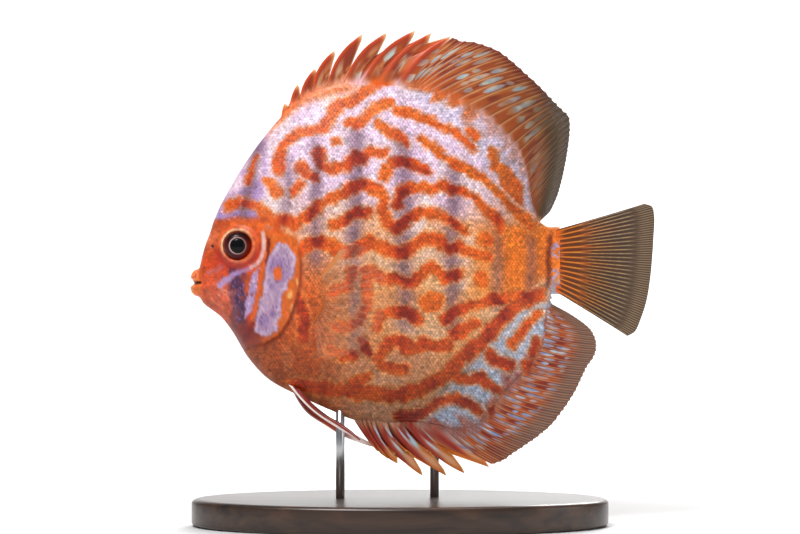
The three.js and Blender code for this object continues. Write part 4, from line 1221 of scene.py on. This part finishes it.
def make_pectoral(side):
    steps, gaps = 8, len(PECTORAL_LENGTHS) - 1
    reach = Profile([(i / gaps, v) for i, v in enumerate(PECTORAL_LENGTHS)])
    root_x, root_z = PECTORAL_ROOT
    wall = thickness(np.array([root_x]), np.array([root_z]))[0]
    columns = [Column(i / steps) for i in range(gaps * steps + 1)]

    def ridge_at(phase, t):
        single, double = crests(phase, 1, 0, 3), crests(phase, 2, 0.125, 3)
        return single + (double - single) * smooth(0.45, 0.7, t)

    def surface(column, t, face, along):
        angle = math.radians(PECTORAL_FIRST + (PECTORAL_LAST - PECTORAL_FIRST) * along)
        length = reach(along) * t + PECTORAL_SINK * (t - 1) * 0.6
        x = root_x + math.cos(angle) * length * math.cos(PECTORAL_SPREAD)
        z = root_z + PECTORAL_ROOT_HALF * (1 - 2 * along) + math.sin(angle) * length
        cup = 2.2 * t * t * math.cos(math.pi * (along - 0.5))
        out = wall - PECTORAL_SINK * (1 - t) ** 2 + 0.9 * t + length * math.sin(PECTORAL_SPREAD) * 0.9 + cup
        half = 0.07 + 0.2 * ridge_at(column.phase, t) * (1 - 0.6 * smooth(0.5, 1, t))
        half = np.maximum(half, 0.95 * fall(0, 0.3, t))
        return np.stack([x, side * out + face * half, z], axis=1)

    def paint(column, t, points):
        lead = fall(0.2, 0.9, column.phase)
        flesh = np.maximum(fall(0.17, 0.24, t), lead * fall(0.6, 0.95, t))
        colour = laid(
            flat((236, 196, 160), t), ((222, 142, 78), flesh),
            # Painted shadow: a dark line across the rays where the fleshy foot of the fin ends
            ((176, 84, 34), 0.8 * bump(t - 0.19, 0.035) * (1 - lead)),
        )
        return colour, np.maximum(flesh, 0.035 + 0.11 * ridge_at(column.phase, t) * (1 - 0.6 * t))

    return fin_mesh(f"breast_fin_{SIDE_NAMES[side]}", columns, 44, surface, paint)


# Each pelvic fin: its front edge, its rear edge and its distance from the middle plane
PELVIC = {
    LEFT: (
        [(35.6, -44), (39.3, -48.6), (43.1, -52.4), (46.3, -55), (51.7, -58.6), (56.7, -61.6), (61, -64)],
        [(39.6, -45.6), (42.6, -49.4), (45.8, -52.6), (49, -54.8), (54, -57.6), (58.4, -60.8),
         (61.4, -63.6)],
        3.4,
    ),
    RIGHT: (
        [(35.6, -44), (38.7, -50.4), (42.3, -54.9), (48, -58.8), (55, -63), (63.6, -66.3),
         (71.6, -67.9)],
        [(39.6, -45.6), (43, -50.2), (46.8, -53.6), (52, -57.4), (58, -61.6), (64.8, -65.2),
         (71.8, -67.5)],
        3.6,
    ),
}


def make_pelvic(side):
    steps, rows = 7, 60
    front_line, rear_line, root_out = PELVIC[side]
    front, rear = smooth_path(front_line, rows), smooth_path(rear_line, rows)
    columns = [Column(i / steps) for i in range((PELVIC_RAYS - 1) * steps + 1)]

    def surface(column, t, face, along):
        mid = front + (rear - front) * along
        top = SPINE_HALF if column.phase < 0.5 else RAY_HALF
        ridge = MEMBRANE_HALF + (top - MEMBRANE_HALF) * crests(column.phase, 1, 0, 3)
        half = np.maximum(EDGE_HALF + (ridge - EDGE_HALF) * fall(0.5, 1, t), 1.1 * fall(0, 0.25, t))
        out = root_out + 0.9 * smooth(0.1, 0.5, t) + 0.5 * along * t
        return np.stack([mid[:, 0], side * out + face * half, mid[:, 1]], axis=1)

    def paint(column, t, points):
        along = column.phase / (PELVIC_RAYS - 1)
        if side == LEFT:
            white = fall(0.26, 0.48, along) * (1 - 0.25 * smooth(0.6, 1, t))
            white = np.maximum(white, 0.7 * bump(along - 0.72, 0.07) * smooth(0.2, 0.5, t))
        else:
            white = np.maximum(0.7 * fall(0.05, 0.2, along), smooth(0.45, 0.75, t))
        bright = 0.6 * patchy(0.3, 0.8, t * 9, column.phase, 66)
        colour = laid(flat((134, 32, 26), t), ((196, 104, 66), bright), ((255, 246, 242), white))
        return colour, np.ones(len(t))

    return fin_mesh(f"belly_fin_{SIDE_NAMES[side]}", columns, rows, surface, paint)


# Radius of the pupil
PUPIL = 2.7


def make_eye(side):
    """A flattened ball with a black pupil, a pale ring and a dark maroon iris."""
    rings, segments = 64, 72
    polar = np.linspace(0.0, math.pi, rings)[:, None]
    turn = np.linspace(0, 2 * math.pi, segments, endpoint=False)[None, :]
    radius = EYE_RADIUS * np.sin(polar) * np.ones(turn.shape)
    facing = np.cos(polar)
    lens = 0.22 * fall(0.75 * PUPIL, 1.02 * PUPIL, radius) - 0.14 * bump(radius - 1.08 * PUPIL, 0.22)
    x, z = EYE[0] + radius * np.cos(turn), EYE[1] + radius * np.sin(turn)
    y = side * (EYE_SEAT + EYE_DEPTH * facing + lens * (facing > 0))
    angle = np.arctan2(z - EYE[1], x - EYE[0])
    fibre = noise(angle * 9 + 40, radius * 1.1, 71)
    ring = bump(radius - 1.09 * PUPIL, 0.2) * (0.65 + 0.35 * smooth(-1, 1, -np.cos(angle)))
    colour = laid(
        flat((72, 22, 30), radius),
        ((140, 40, 22), 0.8 * smooth(-0.3, 0.9, np.cos(angle)) * smooth(2.6, 4.4, radius)),
        ((22, 10, 12), 0.85 * smooth(0.0, 0.9, np.sin(angle)) * smooth(2.6, 4.2, radius)),
        ((112, 44, 34), 0.4 * smooth(0.4, 0.9, fibre)), ((150, 60, 30), 0.7 * smooth(4.5, 4.9, radius)),
        ((226, 206, 196), ring), ((3, 3, 6), fall(0.96 * PUPIL, 1.02 * PUPIL, radius)),
    )
    quads = ring_faces(rings, segments, flip=side == RIGHT)
    name = f"eye_ball_{SIDE_NAMES[side]}"
    return mesh_object(name, place(x, y, z).reshape(-1, 3), quads, colour.reshape(-1, 3))


def lathe(name, profile, center, stretch=(1, 1), segments=96):
    """Turns a profile of (radius, height) round an upright axis; stretch makes it an oval."""
    turn = np.linspace(0, 2 * math.pi, segments, endpoint=False)
    radius, height = np.array(profile).T[:, :, None]
    x = center[0] + radius * stretch[0] * np.cos(turn)
    y = center[1] + radius * stretch[1] * np.sin(turn)
    points = np.stack(np.broadcast_arrays(x, y, height), axis=-1).reshape(-1, 3) * MM
    first, last = range(segments), range(len(points) - segments, len(points))
    return mesh_object(name, points, [*ring_faces(len(profile), segments), first[::-1], last])


BASE_HALF = (75.0, 39.0)
BASE_HEIGHT = 10.0
BASE_ROUND = 1.6
ROD_RADIUS = 1.6
# Each rod: place along the fish, place across it and top
RODS = {"front": (54.0, 0.0, 48.0), "rear": (88.0, 5.6, 66.0)}


def make_base():
    """The oval base: a turned edge with a soft rounded rim above and below."""
    a = np.linspace(0, math.pi / 2, 7)
    rim = BASE_ROUND / BASE_HALF[1]
    lower = zip(1 - (1 - np.sin(a)) * rim, BASE_ROUND * (1 - np.cos(a)))
    upper = zip(1 - (1 - np.cos(a)) * rim, BASE_HEIGHT - BASE_ROUND + BASE_ROUND * np.sin(a))
    return lathe("display_base", [*lower, *upper], (0, 0), BASE_HALF, 160)


def make_rod(name, x, y, top):
    profile = [(ROD_RADIUS, BASE_HEIGHT - 0.4), (ROD_RADIUS, top)]
    return lathe(f"display_rod_{name}", profile, (SNOUT_X + x, y), segments=40)


def dress(item, material, slot, *nodes):
    item.data.materials.append(material)
    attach(item, "root")
    if nodes:
        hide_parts(*nodes)


def light(name, location, target, energy, size):
    lamp = bpy.data.lights.new(name, "AREA")
    lamp.energy = energy
    lamp.size = size
    item = bpy.data.objects.new(name, lamp)
    item.location = location
    item.rotation_euler = (Vector(target) - Vector(location)).to_track_quat("-Z", "Y").to_euler()
    bpy.context.scene.collection.objects.link(item)


def make_stage():
    """A pale floor that curves up into a pale wall behind the fish."""
    half, front, depth, radius, height = 2.5, -2.2, 1.3, 0.45, 2.6
    a = math.pi / 2 * np.arange(13) / 12
    curve = zip(depth - radius + radius * np.sin(a), radius * (1 - np.cos(a)))
    path = [(front, 0.0), *curve, (depth, height)]
    points = [(x, y, z) for y, z in path for x in (-half, half)]
    faces = [(2 * i, 2 * i + 1, 2 * i + 3, 2 * i + 2) for i in range(len(path) - 1)]
    floor = mesh_object("studio_floor", points, faces)
    paper = Look("pale_paper", Base_Color=(0.78, 0.78, 0.77, 1), Roughness=0.9)
    floor.data.materials.append(paper.material)


# The camera: the photograph's frame is 800 pixels wide at 0.36 mm a pixel on the fish
FRAME_WIDTH = 800 * 0.36 * MM
CENTER_Z = 93.2 * MM
LENS, SENSOR = 120.0, 36.0


def make_camera():
    data = bpy.data.cameras.new("camera")
    data.lens = LENS
    data.sensor_width = SENSOR
    data.clip_start = 0.01
    camera = bpy.data.objects.new("camera", data)
    camera.location = (0, -FRAME_WIDTH * LENS / SENSOR, CENTER_Z)
    camera.rotation_euler = (math.pi / 2, 0, 0)
    bpy.context.scene.collection.objects.link(camera)
    bpy.context.scene.camera = camera


def make_lights():
    world = bpy.data.worlds.new("world")
    world.use_nodes = True
    set_inputs(world.node_tree.nodes["Background"], {"Color": (0.86, 0.9, 1.0, 1), "Strength": 0.22})
    bpy.context.scene.world = world
    bpy.context.scene.view_settings.view_transform = "Standard"
    fish = (0, 0, 0.09)
    light("key", (-0.3, -0.62, 0.95), fish, 9.6, 0.4)
    light("fill", (1.2, -0.45, 0.4), fish, 2.3, 0.7)
    light("top", (0.1, 0.3, 1.0), fish, 5, 0.5)
    light("rear", (0.35, 0.98, 0.8), fish, 8, 0.5)
    light("wall", (0, 0.55, 0.75), (0, 1.3, 0.3), 6, 0.7)


SEED = 7


def main():
    rng = np.random.default_rng(SEED)
    make_camera()
    make_stage()
    make_lights()
    skin_look = painted_look("wet_skin", 0.45, 0.12, 2600, 0.35)
    scale_look = painted_look("wet_scales", 0.5, 0.06, 3200, 0.2)
    fin_look = painted_look("fin_membrane", 0.4, 0.15, 2200, 0.2, see_through=True)
    dress(make_skin(), skin_look, "skin", "head", "torso", "tail")
    for side in (LEFT, RIGHT):
        root_x, root_z = scale_roots(rng)
        front = root_x < SCALE_SPLIT
        for part, own in (("front", front), ("rear", ~front)):
            dress(make_scales(side, part, root_x[own], root_z[own], rng), scale_look, "skin")
    dress(make_dorsal(), fin_look, "fin", "dorsal_fin")
    dress(make_anal(), fin_look, "fin", "anal_fin")
    dress(make_caudal(), fin_look, "fin", "caudal_fin")
    wet_eye = eye_look()
    for side, word in SIDE_NAMES.items():
        dress(make_pectoral(side), fin_look, "clear_fin", f"pectoral_fin_{word}")
        dress(make_pelvic(side), fin_look, "fin", f"pelvic_fin_{word}")
        dress(make_eye(side), wet_eye, "eye", f"eye_{word}")
    dress(make_base(), wood_look(), "wood", "stand_base")
    steel = steel_look()
    for name, (x, y, top) in RODS.items():
        dress(make_rod(name, x, y, top), steel, "steel", f"stand_rod_{name}")


main()
